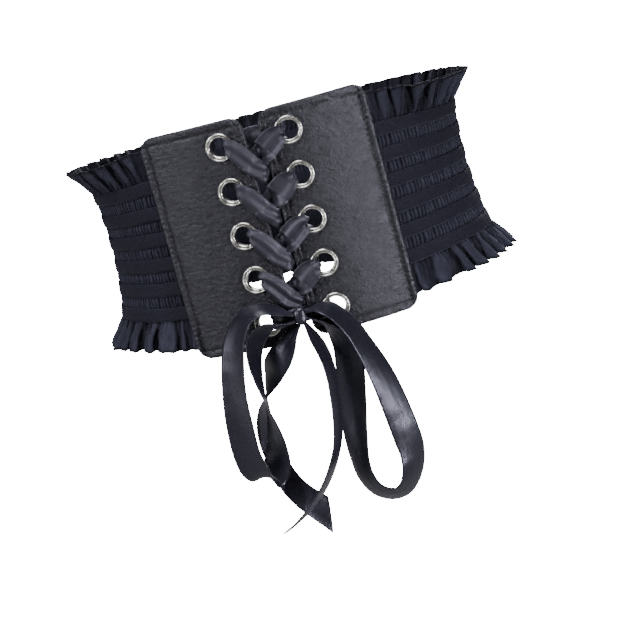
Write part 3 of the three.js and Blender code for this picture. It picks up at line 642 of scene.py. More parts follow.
def recipe(name, values):
    """A tree with one input for each named value, and a function that gives its inputs as fields."""
    tree = bpy.data.node_groups.new(name, "GeometryNodeTree")
    for way in ("INPUT", "OUTPUT"):
        tree.interface.new_socket("Geometry", in_out=way, socket_type="NodeSocketGeometry")
    for label, value in values.items():
        kind = next(SOCKET_KINDS[sort] for sort in SOCKET_KINDS if isinstance(value, sort))
        tree.interface.new_socket(label, in_out="INPUT", socket_type="NodeSocket" + kind)
    return tree, wire(tree, "NodeGroupInput").beside


def finish_recipe(tree, geometry, material):
    """Every tree ends in Realize Instances, smooth shading and Set Material."""
    whole = wire(tree, "GeometryNodeRealizeInstances", {"Geometry": geometry})
    soft = wire(tree, "GeometryNodeSetShadeSmooth", {"Geometry": whole})
    done = wire(tree, "GeometryNodeSetMaterial", {"Geometry": soft, "Material": material})
    tree.links.new(done.socket, tree.nodes.new("NodeGroupOutput").inputs["Geometry"])


def cook(name, mesh, tree, values, wall=None):
    """Runs a tree on a mesh and keeps the result as a plain mesh; wall thickens an open sheet."""
    piece = put(name, mesh)
    nodes = piece.modifiers.new("recipe", "NODES")
    nodes.node_group = tree
    for item in tree.interface.items_tree:
        if item.in_out == "INPUT" and item.name in values:
            nodes[item.identifier] = values[item.name]
    if wall:
        solid = piece.modifiers.new("wall", "SOLIDIFY")
        solid.thickness = wall
        solid.offset = 0
    graph = bpy.context.evaluated_depsgraph_get()
    made = bpy.data.meshes.new_from_object(piece.evaluated_get(graph), depsgraph=graph)
    piece.modifiers.clear()
    piece.data = made
    print(name, "has", len(made.polygons), "faces")
    return piece


def geometry_of(thing):
    return wire(thing.tree, "GeometryNodeObjectInfo", {"Object": thing}, "Geometry")


def vector(tree, **sockets):
    return wire(tree, "ShaderNodeCombineXYZ", sockets)


def arrows(operation, *values, **more):
    """Vector Math: what math() does for numbers."""
    sockets = {**dict(enumerate(values)), **more}
    return wire(values[0].tree, "ShaderNodeVectorMath", sockets, operation=operation)


def eased(value, low, high, start=0.0, end=1.0):
    sockets = {"Value": value, "From Min": low, "From Max": high, "To Min": start, "To Max": end}
    return wire(value.tree, "ShaderNodeMapRange", sockets, interpolation_type="SMOOTHSTEP")


def beyond_panels(along):
    """How far a place is past the panels, either way round the belt."""
    return along.math("MINIMUM", loop_length - along) - panel_outer_edge


belt_oval = put("belt_oval", plain_mesh(
    "belt_oval", [(x, y, 0) for x, y in plan[:-1]], [(k, (k + 1) % PLAN_POINTS) for k in range(PLAN_POINTS)]))


def bend_round(oval, along, height, out):
    """The same mapping as place(), in nodes."""
    curve = wire(oval.tree, "GeometryNodeMeshToCurve", {"Mesh": oval})
    sockets = {"Curves": curve, "Length": along}
    spot = wire(oval.tree, "GeometryNodeSampleCurve", sockets, "Position", mode="LENGTH")
    away = arrows("NORMALIZE", arrows("CROSS_PRODUCT", spot.beside("Tangent"), (0, 0, 1)))
    fade = eased(beyond_panels(along), 0.0, SHAPE_FADE)
    lift = (height - NARROWEST_HEIGHT) / (ELASTIC_HEIGHT / 2 + NARROWEST_HEIGHT)
    push = fade * (lift * lift * HIP_FLARE) + (out - PANEL_MIDDLE)
    spot = arrows("ADD", spot, arrows("SCALE", away, Scale=push))
    return arrows("ADD", spot, vector(oval.tree, Z=height))


def flat_cloth(length, height, columns, rows):
    """A flat grid, with its own along and height as fields from 0 to length and from 0 to height."""
    sockets = {"Size X": length, "Size Y": height, "Vertices X": columns, "Vertices Y": rows}
    grid = wire(length.tree, "GeometryNodeMeshGrid", sockets, "Mesh")
    position = wire(length.tree, "GeometryNodeInputPosition")
    flat = wire(length.tree, "ShaderNodeSeparateXYZ", {0: position}, "X")
    return grid, length * 0.5 + flat, height * 0.5 + flat.beside("Y")


def shaped(cloth, spot, lay, **marks):
    """The cloth moved to its place, carrying its flat coordinates and the marks that its finish reads."""
    for label, value in {"lay": lay, **marks}.items():
        kind = "FLOAT_VECTOR" if label == "lay" else "FLOAT"
        sockets = {"Geometry": cloth, "Name": label, "Value": value}
        cloth = wire(cloth.tree, "GeometryNodeStoreNamedAttribute", sockets, data_type=kind, domain="POINT")
    return wire(cloth.tree, "GeometryNodeSetPosition", {"Geometry": cloth, "Position": spot})


def wander(along, height, scale, seed):
    """Noise from -0.5 to 0.5 over the flat cloth."""
    return speckle(vector(along.tree, X=along, Y=height, Z=seed), scale, 2.0) - 0.5


# %% [markdown]
# The elastic band is cloth that is longer than the belt, drawn up by six tapes sewn across it. Under each
# tape it is pressed flat, and between the tapes it stands in fine upright pleats with sharp valleys. The
# rule is a rounded wave along the cloth, damped near the tapes and varied by noise, so no two pleats
# match. The band also narrows and calms down a little towards the sides.

# %% Gathered cloth between the tapes
TAPE_COUNT = 6
TAPE_WIDTH = 8.5 * MM
TAPE_SPACING = (ELASTIC_HEIGHT - TAPE_WIDTH) / (TAPE_COUNT - 1)
PLEAT_PITCH = 2.8 * MM
PLEAT_RISE = 2.2 * MM
PLEAT_DRIFT = 2.2
PLEAT_BEND = 0.7
PLEAT_UNDER_TAPE = 0.12
SIDE_CALM = 0.30
COLUMNS_PER_PLEAT = 5
CLOTH_ROWS = 48
CLOTH_WALL = 0.35 * MM
GATHER_FULLNESS = 1.45

gathered = {
    "Oval": belt_oval, "Length": elastic_length, "Height": ELASTIC_HEIGHT,
    "Columns": round(elastic_length / PLEAT_PITCH) * COLUMNS_PER_PLEAT, "Rows": CLOTH_ROWS,
    "Pleat Pitch": PLEAT_PITCH, "Pleat Rise": PLEAT_RISE, "Tape Spacing": TAPE_SPACING,
    "Tape Width": TAPE_WIDTH, "Seed": 2.0, "Finish": crepe}
tree, given = recipe("gathered_cloth_rule", gathered)
seed, tape_width = given("Seed"), given("Tape Width")
grid, run, rise = flat_cloth(given("Length"), given("Height"), given("Columns"), given("Rows"))
along = run + elastic_start
tape_row = (rise - tape_width * 0.5) / given("Tape Spacing")
from_tape = (tape_row - tape_row.math("ROUND")).math("ABSOLUTE") * given("Tape Spacing")
free = eased(from_tape, tape_width * 0.44, tape_width * 0.66, PLEAT_UNDER_TAPE)
drift = wander(along, tape_row.math("FLOOR") * 0.31, 150.0, seed)
bend = wander(along, rise, 130.0, seed + 3.0)
phase = bend * PLEAT_BEND + (drift * PLEAT_DRIFT + along / given("Pleat Pitch"))
ridge = (phase * math.pi).math("SINE").math("ABSOLUTE") ** 0.9
uneven = wander(along, rise, 260.0, seed + 7.0) * 1.5 + 0.85
swell = ridge * uneven * (free * given("Pleat Rise"))
fade = eased(beyond_panels(along), 0.0, SHAPE_FADE)
level = (rise - given("Height") * 0.5) * (fade * -SIDE_NARROWING + 1.0)
depth = swell * (fade * -SIDE_CALM + 1.0) + CLOTH_THICKNESS
spot = bend_round(geometry_of(given("Oval")), along, level, depth)
# Marks for the painted shade in the pleat valleys and the painted highlight on the pleat crests.
finish_recipe(tree, shaped(grid, spot, vector(tree, X=along, Y=rise), valley=(1.0 - ridge) * free,
                           crest=ridge ** 4.0 * free), given("Finish"))

blank = bpy.data.meshes.new("blank")
gathered_cloth = cook("dressed_gathered_cloth", blank, tree, gathered, CLOTH_WALL)
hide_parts("gathered_cloth")
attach(gathered_cloth, "root")

# %% [markdown]
# The tapes lie over the gathers. Each is one ribbon whose soft edges dip towards the cloth, with ribs so
# low that they only show at the edges. One tree makes a tape, and it is cooked once for each of the six
# heights.

# %% Elastic tapes
RIB_PITCH = 1.6 * MM
RIB_RISE = 0.05 * MM
COLUMNS_PER_RIB = 2
TAPE_ROWS = 8
TAPE_WALL = 0.5 * MM
TAPE_LEVEL = TAPE_FRONT - 0.35 * MM
TAPE_PULL = 0.35 * MM
TAPE_EDGE_DIP = 0.45 * MM
TAPE_EDGE_WAVE = 0.22 * MM
TAPE_SWAY = 0.9 * MM

top_tape = {
    "Oval": belt_oval, "Length": elastic_length, "Width": TAPE_WIDTH,
    "Bottom": ELASTIC_HEIGHT / 2 - TAPE_WIDTH,
    "Columns": round(elastic_length / RIB_PITCH) * COLUMNS_PER_RIB, "Rows": TAPE_ROWS,
    "Rib Pitch": RIB_PITCH, "Rib Rise": RIB_RISE, "Level": TAPE_LEVEL, "Seed": 0.0, "Finish": ribbed}
tree, given = recipe("tape_rule", top_tape)
seed = given("Seed")
grid, run, rise = flat_cloth(given("Length"), given("Width"), given("Columns"), given("Rows"))
along = run + elastic_start
edge_dip = (rise / given("Width") * 2.0 - 1.0).math("ABSOLUTE") ** 6.0
rib_place = wander(along, rise, 90.0, seed) * 1.2 + along / given("Rib Pitch")
rib = (rib_place * (2 * math.pi)).math("COSINE")
slack = wander(along, rise * 0.3, 75.0, seed + 5.0)
depth = edge_dip * -TAPE_EDGE_DIP + (slack * TAPE_PULL + (rib * given("Rib Rise") + given("Level")))
sway = wander(along, 0.0, 60.0, seed + 9.0) * TAPE_SWAY
level = given("Bottom") + rise + (rib * edge_dip * TAPE_EDGE_WAVE + sway)
level = level * (eased(beyond_panels(along), 0.0, SHAPE_FADE) * -SIDE_NARROWING + 1.0)
spot = bend_round(geometry_of(given("Oval")), along, level, depth)
finish_recipe(tree, shaped(grid, spot, vector(tree, X=along, Y=rise)), given("Finish"))

for number in range(TAPE_COUNT):
    values = {**top_tape, "Bottom": top_tape["Bottom"] - number * TAPE_SPACING, "Seed": 1.7 * number}
    tape = cook(f"dressed_elastic_tape_{number + 1}", blank, tree, values, TAPE_WALL)
    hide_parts(f"elastic_tape_{number + 1}")
    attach(tape, "root")
GATHER_FULLNESS * elastic_length

# %% [markdown]
# A ruffle is a strip much longer than the edge it is sewn to. At its root it is crowded into fine
# gathers, and towards the free edge these open into broad, uneven folds that roll over at their crests.
# The rule blends a fine wave at the root into two broader waves at the edge, and also moves the cloth
# sideways, which makes the folds swell like real ones instead of plain zigzags.

# %% Ruffles
RUFFLE_LENGTH = 20 * MM
RUFFLE_LEAN = math.radians(30)
RUFFLE_COLUMN = 0.52 * MM
RUFFLE_ROWS = 22
RUFFLE_WALL = 0.45 * MM
RUFFLE_FADE = 34 * MM
RUFFLE_SEAT = ELASTIC_HEIGHT / 2 - 0.4 * MM
ROOT_PITCH = 3.1 * MM
ROOT_RISE = 1.1 * MM
FOLD_PITCH = 11.2 * MM
FOLD_RISE = 3.5 * MM
FOLD_ROLL = 0.55
FOLD_DIP = 1.5 * MM
SECOND_WAVE = 2.13
BESIDE_PANEL = 0.35
RUFFLE_FULLNESS = 1.9
EDGE_STITCH = 1.0 * MM

ruffled = {
    "Oval": belt_oval, "Length": elastic_length, "Reach": RUFFLE_LENGTH, "Way": 1.0,
    "Columns": round(elastic_length / RUFFLE_COLUMN), "Rows": RUFFLE_ROWS, "Lean": RUFFLE_LEAN,
    "Root Pitch": ROOT_PITCH, "Fold Pitch": FOLD_PITCH, "Root Rise": ROOT_RISE, "Fold Rise": FOLD_RISE,
    "Seed": 0.0, "Finish": crepe}
tree, given = recipe("ruffle_rule", ruffled)
seed, way = given("Seed"), given("Way")
grid, run, rise = flat_cloth(given("Length"), given("Reach"), given("Columns"), given("Rows"))
along = run + elastic_start
reach = rise / given("Reach")
drift = wander(along, rise * 0.35, 55.0, seed)
small_drift = wander(along, rise, 120.0, seed + 4.0)
broad = (drift * 1.9 + along / given("Fold Pitch")) * (2 * math.pi)
middle = small_drift * 5.0 + broad * SECOND_WAVE
fine = (small_drift * 1.6 + along / given("Root Pitch")) * (2 * math.pi)
strength = wander(along, 0.0, 70.0, seed + 8.0) * 1.3 + 0.95
fold_rise = given("Fold Rise") * reach ** 0.8 * strength
swing = middle.math("SINE") * 0.42 + broad.math("SINE")
gather = fine.math("SINE") * ((1.0 - reach) ** 1.6 * given("Root Rise"))
roll = (middle * 2.0).math("SINE") * 0.35 + (broad * 2.0).math("SINE")
edge_up = (1.0 - (broad * 0.5).math("SINE").math("ABSOLUTE")) * (reach * -FOLD_DIP)
past = beyond_panels(along)
free = eased(past, 0.0, RUFFLE_FADE, BESIDE_PANEL)
root = (eased(past, 0.0, SHAPE_FADE) * -SIDE_NARROWING + 1.0) * RUFFLE_SEAT
lean = given("Lean") * free
drop = rise + edge_up
climb = lean.math("COSINE") * drop
out = lean.math("SINE") * drop + (swing * fold_rise + gather) * free + (CLOTH_THICKNESS + GATHER_RELIEF / 2)
place_along = roll * fold_rise * -FOLD_ROLL * free + along
spot = bend_round(geometry_of(given("Oval")), place_along, root * way, out)
spot = arrows("ADD", spot, vector(tree, Z=climb * way))
hem_place = {"Value": given("Reach") - rise, "From Min": 2.2 * EDGE_STITCH, "From Max": EDGE_STITCH}
lay = vector(tree, X=along * RUFFLE_FULLNESS, Y=rise)
# Marks for the painted shade in the fold valleys and the painted highlight on the fold crests.
cloth = shaped(grid, spot, lay, hem=wire(tree, "ShaderNodeMapRange", hem_place),
               valley=(swing * -0.5 + 0.35) * free, crest=swing * 0.6)
finish_recipe(tree, cloth, given("Finish"))

for name, way, seed in (("ruffle_top", 1.0, 3.0), ("ruffle_bottom", -1.0, 21.0)):
    values = {**ruffled, "Way": way, "Seed": seed}
    ruffle = cook(f"dressed_{name}", blank, tree, values, RUFFLE_WALL)
    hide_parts(name)
    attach(ruffle, "root")
    RUFFLE_FULLNESS * elastic_length


# %% [markdown]
# The lacing is one long satin ribbon. Each pass comes up through an eyelet, turns over its flange,
# crosses the gap, and runs behind the other panel to the next eyelet down. The stations below say how
# deep and how wide the ribbon is at each step, as shares of the run, of the eyelets' pitch and of the
# ribbon's width. A smooth curve through them gives the ribbon, which crumples where it enters a hole.

# %% Smooth curves and ribbons
RIBBON_WIDTH = 18 * MM
RIBBON_THICKNESS = 0.55 * MM
RIBBON_COLUMNS = 17


def through(points, steps, power):
    """A Catmull-Rom curve through rows of numbers: power 0.25 is centripetal, 0 is even."""
    points = np.asarray(points, float)
    ends = np.concatenate([[2 * points[0] - points[1]], points, [2 * points[-1] - points[-2]]])
    rows = []
    for a, b, c, d in zip(ends, ends[1:], ends[2:], ends[3:]):
        gaps = [max(float(((q - p)[:3] ** 2).sum()), 1e-12) ** power for p, q in ((a, b), (b, c), (c, d))]
        start = ((b - a) / gaps[0] - (c - a) / (gaps[0] + gaps[1]) + (c - b) / gaps[1]) * gaps[1]
        end = ((c - b) / gaps[1] - (d - b) / (gaps[1] + gaps[2]) + (d - c) / gaps[2]) * gaps[1]
        for t in np.arange(steps) / steps:
            leaving = (2 * t**3 - 3 * t**2 + 1) * b + (t**3 - 2 * t**2 + t) * start
            rows.append(leaving + (3 * t**2 - 2 * t**3) * c + (t**3 - t**2) * end)
    rows.append(points[-1])
    return np.array(rows)


def unit(rows):
    return rows / np.linalg.norm(rows, axis=1, keepdims=True)


def ribbon_body(centre, across, width, crease, seed, slant=0.0, cup=0.0,
                folds_across=(1.4, 4.2), wind=38, tight=0.0):
    """A ribbon from its centre line and the directions across it; crease is how crumpled each row is."""
    run = unit(np.gradient(centre, axis=0))
    across = unit(across - (across * run).sum(1, keepdims=True) * run)
    face = np.cross(run, across)
    travelled = np.concatenate([[0], np.cumsum(np.linalg.norm(np.diff(centre, axis=0), axis=1))])
    share = np.linspace(-0.5, 0.5, RIBBON_COLUMNS)[None, :]
    dice = np.random.default_rng(seed)
    offset = np.zeros((len(centre), RIBBON_COLUMNS))
    for _ in range(5):
        folds, start, drift = dice.uniform(*folds_across), dice.uniform(0, 6.3), dice.uniform(-wind, wind)
        offset += np.sin(2 * math.pi * folds * share + start + drift * travelled[:, None]) / 5
    offset = offset * crease[:, None] + cup * width[:, None] * (share ** 2 - 1 / 12)
    ending = smooth(travelled, travelled[-1] - 1.6 * abs(slant) - MM, travelled[-1])
    slide = ending[:, None] * share * slant
    middle = centre[:, None] + across[:, None] * (share * width[:, None])[..., None]
    middle = middle + run[:, None] * slide[..., None]
    edge = np.abs(share) * 2
    thick = RIBBON_THICKNESS * (1 - 0.35 * edge**12) / 2
    front = middle + face[:, None] * (offset + thick)[..., None]
    back = middle + face[:, None] * (offset - thick)[..., None]
    lay = np.stack(np.broadcast_arrays(travelled[:, None], share * RIBBON_WIDTH, 0.0), -1)
    selvage = np.broadcast_to(smooth(edge, 0.86, 0.93) * (1 - smooth(edge, 0.95, 0.99)), offset.shape)
    marks = {"lay": lay, "hem": selvage, "tight": np.full(offset.shape, tight)}
    return front, back, marks, travelled[-1]


def sew_ribbon(name, parts):
    """One piece from several ribbon lengths."""
    body = bmesh.new()
    for front, back, marks, _ in parts:
        strip = shut_shell(name + "_part", front, back, satin, marks)
        body.from_mesh(strip.data)
        bpy.data.objects.remove(strip)
    mesh = bpy.data.meshes.new(name)
    body.to_mesh(mesh)
    body.free()
    mesh.materials.append(satin)
    whole = put(name, mesh)
    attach(whole, "root")
    length = sum(part[3] for part in parts)
    print(name, "is", round(length, 3), "m of ribbon and has", len(mesh.polygons), "faces")
    return whole, length


# %% [markdown]
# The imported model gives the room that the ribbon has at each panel, flange and washer. A pass starts
# narrow inside its hole, opens over the flange, and closes again on its way to the next hole. The two
# crossings differ: the ribbon from the left lies over the one from the right.

# %% Lacing: stations of a pass
CLEARANCE = 0.3 * MM
CAD_RIBBON = 1 * MM
LACE_SLACK = 0.9 * MM
LACE_HOLE_WIDTH = 9 * MM
LACE_HOLE_OFFSET = 3 * MM
BAR_WIDTH = 14 * MM
FLANGE_BACK = PANEL_FRONT + CLEARANCE
FLANGE_FRONT = FLANGE_BACK + 1.4 * MM
WASHER_BACK = PANEL_BACK - CLEARANCE - 0.6 * MM
HALF_LAYER = CLEARANCE + CAD_RIBBON / 2
over_panel = PANEL_FRONT + HALF_LAYER
over_flange = FLANGE_FRONT + HALF_LAYER
under_panel = PANEL_BACK - HALF_LAYER
under_washer = WASHER_BACK - HALF_LAYER
lace_hole = panel_inner_edge + EYELET_INSET - LACE_HOLE_OFFSET
lace_run = lace_hole - panel_inner_edge
LACE_START = [  # run, level, widening
    (0, PANEL_MIDDLE + CLEARANCE / 2, 0),
    (0.015, FLANGE_BACK + 0.7 * MM, 0),
    (0.11, over_flange, 0.05),
    (0.27, over_flange + 0.5 * MM, 0.5),
    (0.5, over_flange + 0.2 * MM, 0.9),
    (0.88, over_panel + LACE_SLACK + 0.4 * MM, 1),
]
LACE_END = [
    (0.12, under_panel, 0.9),
    (0.46, under_washer, 0.5),
    (0.9, under_washer, 0.1),
    (0.985, WASHER_BACK, 0),
    (1, PANEL_MIDDLE - CLEARANCE / 2, 0),
]
UPPER_CROSSING = [  # way across the gap, lift, drop, width
    (-1, 1, 0.56, 0.66),
    (0, 0.82, 0.71, 0.64),
    (0.33, 0.7, 0.76, 0.65),
    (0.67, 0.34, 0.81, 0.68),
    (1, 0, 0.86, 0.68),
]
LOWER_CROSSING = [
    (-1, 1, 0.30, 0.84),
    (-0.67, 0.7, 0.33, 0.76),
    (-0.33, 0.26, 0.34, 0.66),
    (0, 0.12, 0.36, 0.58),
    (1, 0, 0.45, 0.66),
]
LACE_DROP_CURVE = 1.5
LACE_STEPS = 9
LACE_CRUMPLE = 1.6 * MM
LACE_CUP = -0.3


def laid_ribbon(stations, seed):
    """stations are (along, height, level, width, crease from 0 to 1) with the ribbon's width upright."""
    stations = through(np.array(stations) * (1 / MM, 1 / MM, 1 / MM, 1 / MM, 1), LACE_STEPS, 0.25)
    along, height, level, width, crease = (stations * (MM, MM, MM, MM, 1)).T
    centre = place(along, height, level)
    upright = np.tile([0.0, 0.0, 1.0], (len(centre), 1))
    return ribbon_body(centre, upright, width, LACE_CRUMPLE * np.clip(crease, 0.06, 1), seed,
                       cup=LACE_CUP, folds_across=(0.7, 2.1), wind=45, tight=1.0)


def opened_to(width, share):
    """The ribbon's width on its way from an eyelet to its full width there."""
    return LACE_HOLE_WIDTH + (width - LACE_HOLE_WIDTH) * share


def lace_pass(side, row, crossing):
    top, edge, leave = eyelet_heights[row], crossing[0], crossing[-1]
    stations = []
    for run, level, widen in LACE_START:
        width = opened_to(edge[3] * RIBBON_WIDTH, widen)
        height = top - EYELET_PITCH * edge[2] * run**LACE_DROP_CURVE
        stations.append((side * (lace_hole - run * lace_run), height, level, width, max(1 - widen, 0.55)))
    for way, lift, drop, width in crossing:
        level = under_panel + (over_panel + LACE_SLACK - under_panel) * lift
        height = top - EYELET_PITCH * drop
        stations.append((-side * way * panel_inner_edge, height, level, width * RIBBON_WIDTH, 0.55))
    for run, level, widen in LACE_END:
        width = opened_to(leave[3] * RIBBON_WIDTH, widen)
        drop = leave[2] + (1 - leave[2]) * min(run / LACE_END[2][0], 1)
        along = -side * (panel_inner_edge + run * lace_run)
        stations.append((along, top - EYELET_PITCH * drop, level, width, 1 - widen))
    return laid_ribbon(stations, 40 + 2 * row + (side > 0))


def lace_bar():
    under = under_panel - CLEARANCE - CAD_RIBBON
    half = [(1, PANEL_MIDDLE - CLEARANCE / 2, 0), (0.985, WASHER_BACK, 0), (0.9, under, 0),
            (0.46, under, 0.5), (0, under, 1)]
    stations = []
    for side, steps in ((-1, half), (1, half[::-1])):
        for run, level, widen in steps:
            along = side * (panel_inner_edge + run * lace_run)
            stations.append((along, eyelet_heights[0], level, opened_to(BAR_WIDTH, widen), 0.5))
    return laid_ribbon(stations, 31)


# %% [markdown]
# Now the lacing is laid: one bar across the top behind the panels, four passes from each side, and the
# two ends that run into the knot.

# %% Lacing
KNOT_SIZE = Vector((8, 7, 11)) * MM
KNOT_STAND_OFF = 4.4 * MM
KNOT_RISE = 1.1 * MM
knot_out = PANEL_FRONT + KNOT_STAND_OFF + KNOT_SIZE.y / 2
knot_height = eyelet_heights[-1] + KNOT_RISE
knot_centre = place(0, knot_height, knot_out)


def lace_end(side):
    behind = knot_out - KNOT_SIZE.y / 2 - HALF_LAYER
    stations = [(side * (lace_hole - run * lace_run), eyelet_heights[-1], level,
                 opened_to(RIBBON_WIDTH / 2, widen), 0.9) for run, level, widen in LACE_START[:-1]]
    for along in (panel_inner_edge, CLEARANCE):
        stations.append((side * along, knot_height, behind, LACE_HOLE_WIDTH, 1))
    return laid_ribbon(stations, 60 + side)


passes = [lace_bar(), lace_end(-1), lace_end(1)]
lace_names = ["lace_bar", "lace_end_left", "lace_end_right"]
for row in range(EYELETS_PER_PANEL - 1):
    passes += [lace_pass(-1, row, UPPER_CROSSING), lace_pass(1, row, LOWER_CROSSING)]
    lace_names += [f"lace_left_to_right_{row + 1}", f"lace_right_to_left_{row + 1}"]
lacing, lacing_length = sew_ribbon("dressed_lacing", passes)
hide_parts(*lace_names)


# %% [markdown]
# The bow is tied from the two ends of the same ribbon: a loop and a tail on each side. A hanging ribbon
# bends freely along its length but stays straight across, so each station gives the middle of the
# ribbon and the direction across it. Across is a share of the bow's reach, down of its drop, out of the
# ribbon's width. The line across points to heading in the front view and turns towards the viewer.

# %% Bow: stations of the loops and tails
BOW_REACH = 45 * MM
BOW_DROP = 130 * MM
TAIL_SLANT = 15 * MM
KNOT_ACROSS = KNOT_SIZE.x / 2 / BOW_REACH
KNOT_DOWN = KNOT_SIZE.z / 2 / BOW_DROP
# across, down, out, heading, turn, width
BOW_LOOP_LEFT = [
    (-1.01 * KNOT_ACROSS, -0.35 * KNOT_DOWN, 0, -90, 90, 0.34),
    (-0.267, -0.046, 0.08, -110, 80, 0.8),
    (-0.467, -0.074, 0.14, -90, 76, 1),
    (-0.7, -0.058, 0.22, -55, 62, 1),
    (-0.9, 0.023, 0.28, -30, 46, 1),
    (-1.011, 0.123, 0.31, -16, 36, 1),
    (-1.111, 0.274, 0.31, -8, 30, 1),
    (-1.164, 0.428, 0.28, -2, 18, 1),
    (-1.178, 0.569, 0.25, -6, 14, 1),
    (-1.14, 0.65, 0.19, -12, 8, 1),
    (-1.06, 0.7, 0.03, -17, 5, 1),
    (-0.96, 0.712, -0.12, -18, 8, 1),
    (-0.865, 0.668, -0.16, -14, 20, 1),
    (-0.79, 0.575, -0.1, -8, 42, 1),
    (-0.757, 0.468, 0.02, -3, 62, 1),
    (-0.762, 0.345, 0.12, 0, 84, 1),
    (-0.77, 0.228, 0.16, -4, 100, 1),
    (-0.742, 0.13, 0.17, -12, 114, 1),
    (-0.655, 0.052, 0.16, -34, 126, 1),
    (-0.478, 0.012, 0.14, -62, 122, 0.95),
    (-0.267, 0.016, 0.08, -85, 106, 0.7),
    (-1.01 * KNOT_ACROSS, 0.35 * KNOT_DOWN, 0, -90, 90, 0.34),
]
BOW_LOOP_RIGHT = [
    (1.01 * KNOT_ACROSS, -0.35 * KNOT_DOWN, 0, -90, 90, 0.34),
    (0.233, -0.028, 0.1, -92, 82, 0.7),
    (0.378, -0.014, 0.19, -115, 72, 1),
    (0.533, 0.042, 0.22, -132, 66, 1),
    (0.644, 0.108, 0.28, -148, 62, 1),
    (0.733, 0.197, 0.31, -162, 57, 1),
    (0.853, 0.351, 0.33, -166, 42, 1),
    (0.92, 0.505, 0.31, -173, 30, 1),
    (0.964, 0.658, 0.22, -178, 25, 1),
    (0.978, 0.735, 0.14, -184, 34, 1),
    (0.938, 0.819, 0.06, -200, 44, 1),
    (0.833, 0.892, -0.06, -222, 50, 1),
    (0.689, 0.934, -0.17, -254, 50, 1),
    (0.522, 0.935, -0.22, -275, 48, 1),
    (0.356, 0.9, -0.28, -306, 48, 1),
    (0.256, 0.831, -0.31, -335, 48, 1),
    (0.231, 0.735, -0.33, -358, 46, 1),
    (0.28, 0.582, -0.31, -368, 30, 1),
    (0.364, 0.428, -0.28, -370, 16, 1),
    (0.44, 0.292, -0.25, -368, 14, 1),
    (0.458, 0.197, -0.08, -356, 30, 1),
    (0.396, 0.118, 0.1, -340, 52, 1),
    (0.289, 0.063, 0.17, -318, 72, 0.85),
    (0.191, 0.034, 0.1, -295, 84, 0.52),
    (1.01 * KNOT_ACROSS, 0.35 * KNOT_DOWN, 0, -270, 90, 0.34),
]
BOW_TAIL_LEFT = [
    (-0.49 * KNOT_ACROSS, 0.92 * KNOT_DOWN, 0, -40, 82, 0.36),
    (-0.178, 0.082, 0.03, -44, 60, 0.8),
    (-0.333, 0.143, 0.03, -40, 42, 1),
    (-0.511, 0.205, -0.22, -38, 38, 1),
    (-0.689, 0.285, -0.69, -36, 66, 1),
    (-0.778, 0.335, -0.94, -25, 84, 1),
    (-0.88, 0.431, -1.03, -10, 110, 1),
    (-0.92, 0.538, -1.03, 2, 121, 1),
    (-0.902, 0.631, -1, 8, 121, 1),
    (-0.844, 0.72, -0.89, 18, 122, 1),
    (-0.756, 0.8, -0.75, 24, 127, 1),
    (-0.622, 0.872, -0.67, 28, 132, 1),
    (-0.35, 0.98, -0.58, 40, 142, 1),
]
BOW_TAIL_RIGHT = [
    (0.49 * KNOT_ACROSS, 0.92 * KNOT_DOWN, 0, -150, 84, 0.36),
    (0.12, 0.105, 0.14, -158, 76, 0.85),
    (0.196, 0.192, 0.31, -172, 75, 1),
    (0.218, 0.277, 0.42, -178, 75, 1),
    (0.204, 0.354, 0.47, -184, 75, 1),
    (0.164, 0.462, 0.5, -190, 75, 1),
    (0.076, 0.592, 0.5, -203, 75, 1),
    (-0.053, 0.689, 0.5, -214, 74, 1),
    (-0.222, 0.777, 0.47, -222, 73, 1),
    (-0.422, 0.854, 0.42, -229, 73, 1),
    (-0.644, 0.915, 0.36, -235, 75, 1),
    (-0.8, 0.948, 0.32, -238, 76, 1),
]
BOW_STEPS = 10
BOW_CUP = 0.22
BOW_CRUMPLE = 1.5 * MM


def free_ribbon(rows, seed, slant=0.0):
    rows = np.array(rows, float)
    spots = rows[:, :3] * (BOW_REACH / MM, -BOW_DROP / MM, -RIBBON_WIDTH / MM)
    centre = through(spots, BOW_STEPS, 0.25)[:, [0, 2, 1]] * MM + knot_centre
    heading, turned, width = through(rows[:, 3:], BOW_STEPS, 0).T
    heading, turned = np.radians(heading), np.radians(turned)
    level = np.cos(turned)
    across = np.stack([level * np.cos(heading), -np.sin(turned), level * np.sin(heading)], -1)
    crease = np.clip(1 - width, 0.05, 1) * BOW_CRUMPLE
    return ribbon_body(centre, across, width * RIBBON_WIDTH, crease, seed, slant, BOW_CUP)


BOW = [
    ("bow_loop_left", BOW_LOOP_LEFT, 71, 0),
    ("bow_loop_right", BOW_LOOP_RIGHT, 72, 0),
    ("bow_tail_left", BOW_TAIL_LEFT, 73, TAIL_SLANT),
    ("bow_tail_right", BOW_TAIL_RIGHT, 74, TAIL_SLANT),
]
for name, rows, seed, slant in BOW:
    piece, length = sew_ribbon(f"dressed_{name}", [free_ribbon(rows, seed, slant)])
    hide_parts(name)
    name != "bow_loop_left"

# %% [markdown]
# The knot is ribbon wound tightly round itself. Seen close, it is a small lump with creases that run
# into it from both sides and one band laid over them. A rounded ball is reshaped by those rules.

# %% Knot
KNOT_SEGMENTS = 72
KNOT_RINGS = 40
KNOT_SQUARENESS = 2.6
KNOT_SNUGNESS = 0.97
KNOT_FOLD_RISE = 0.06
KNOT_BAND_RISE = 0.09

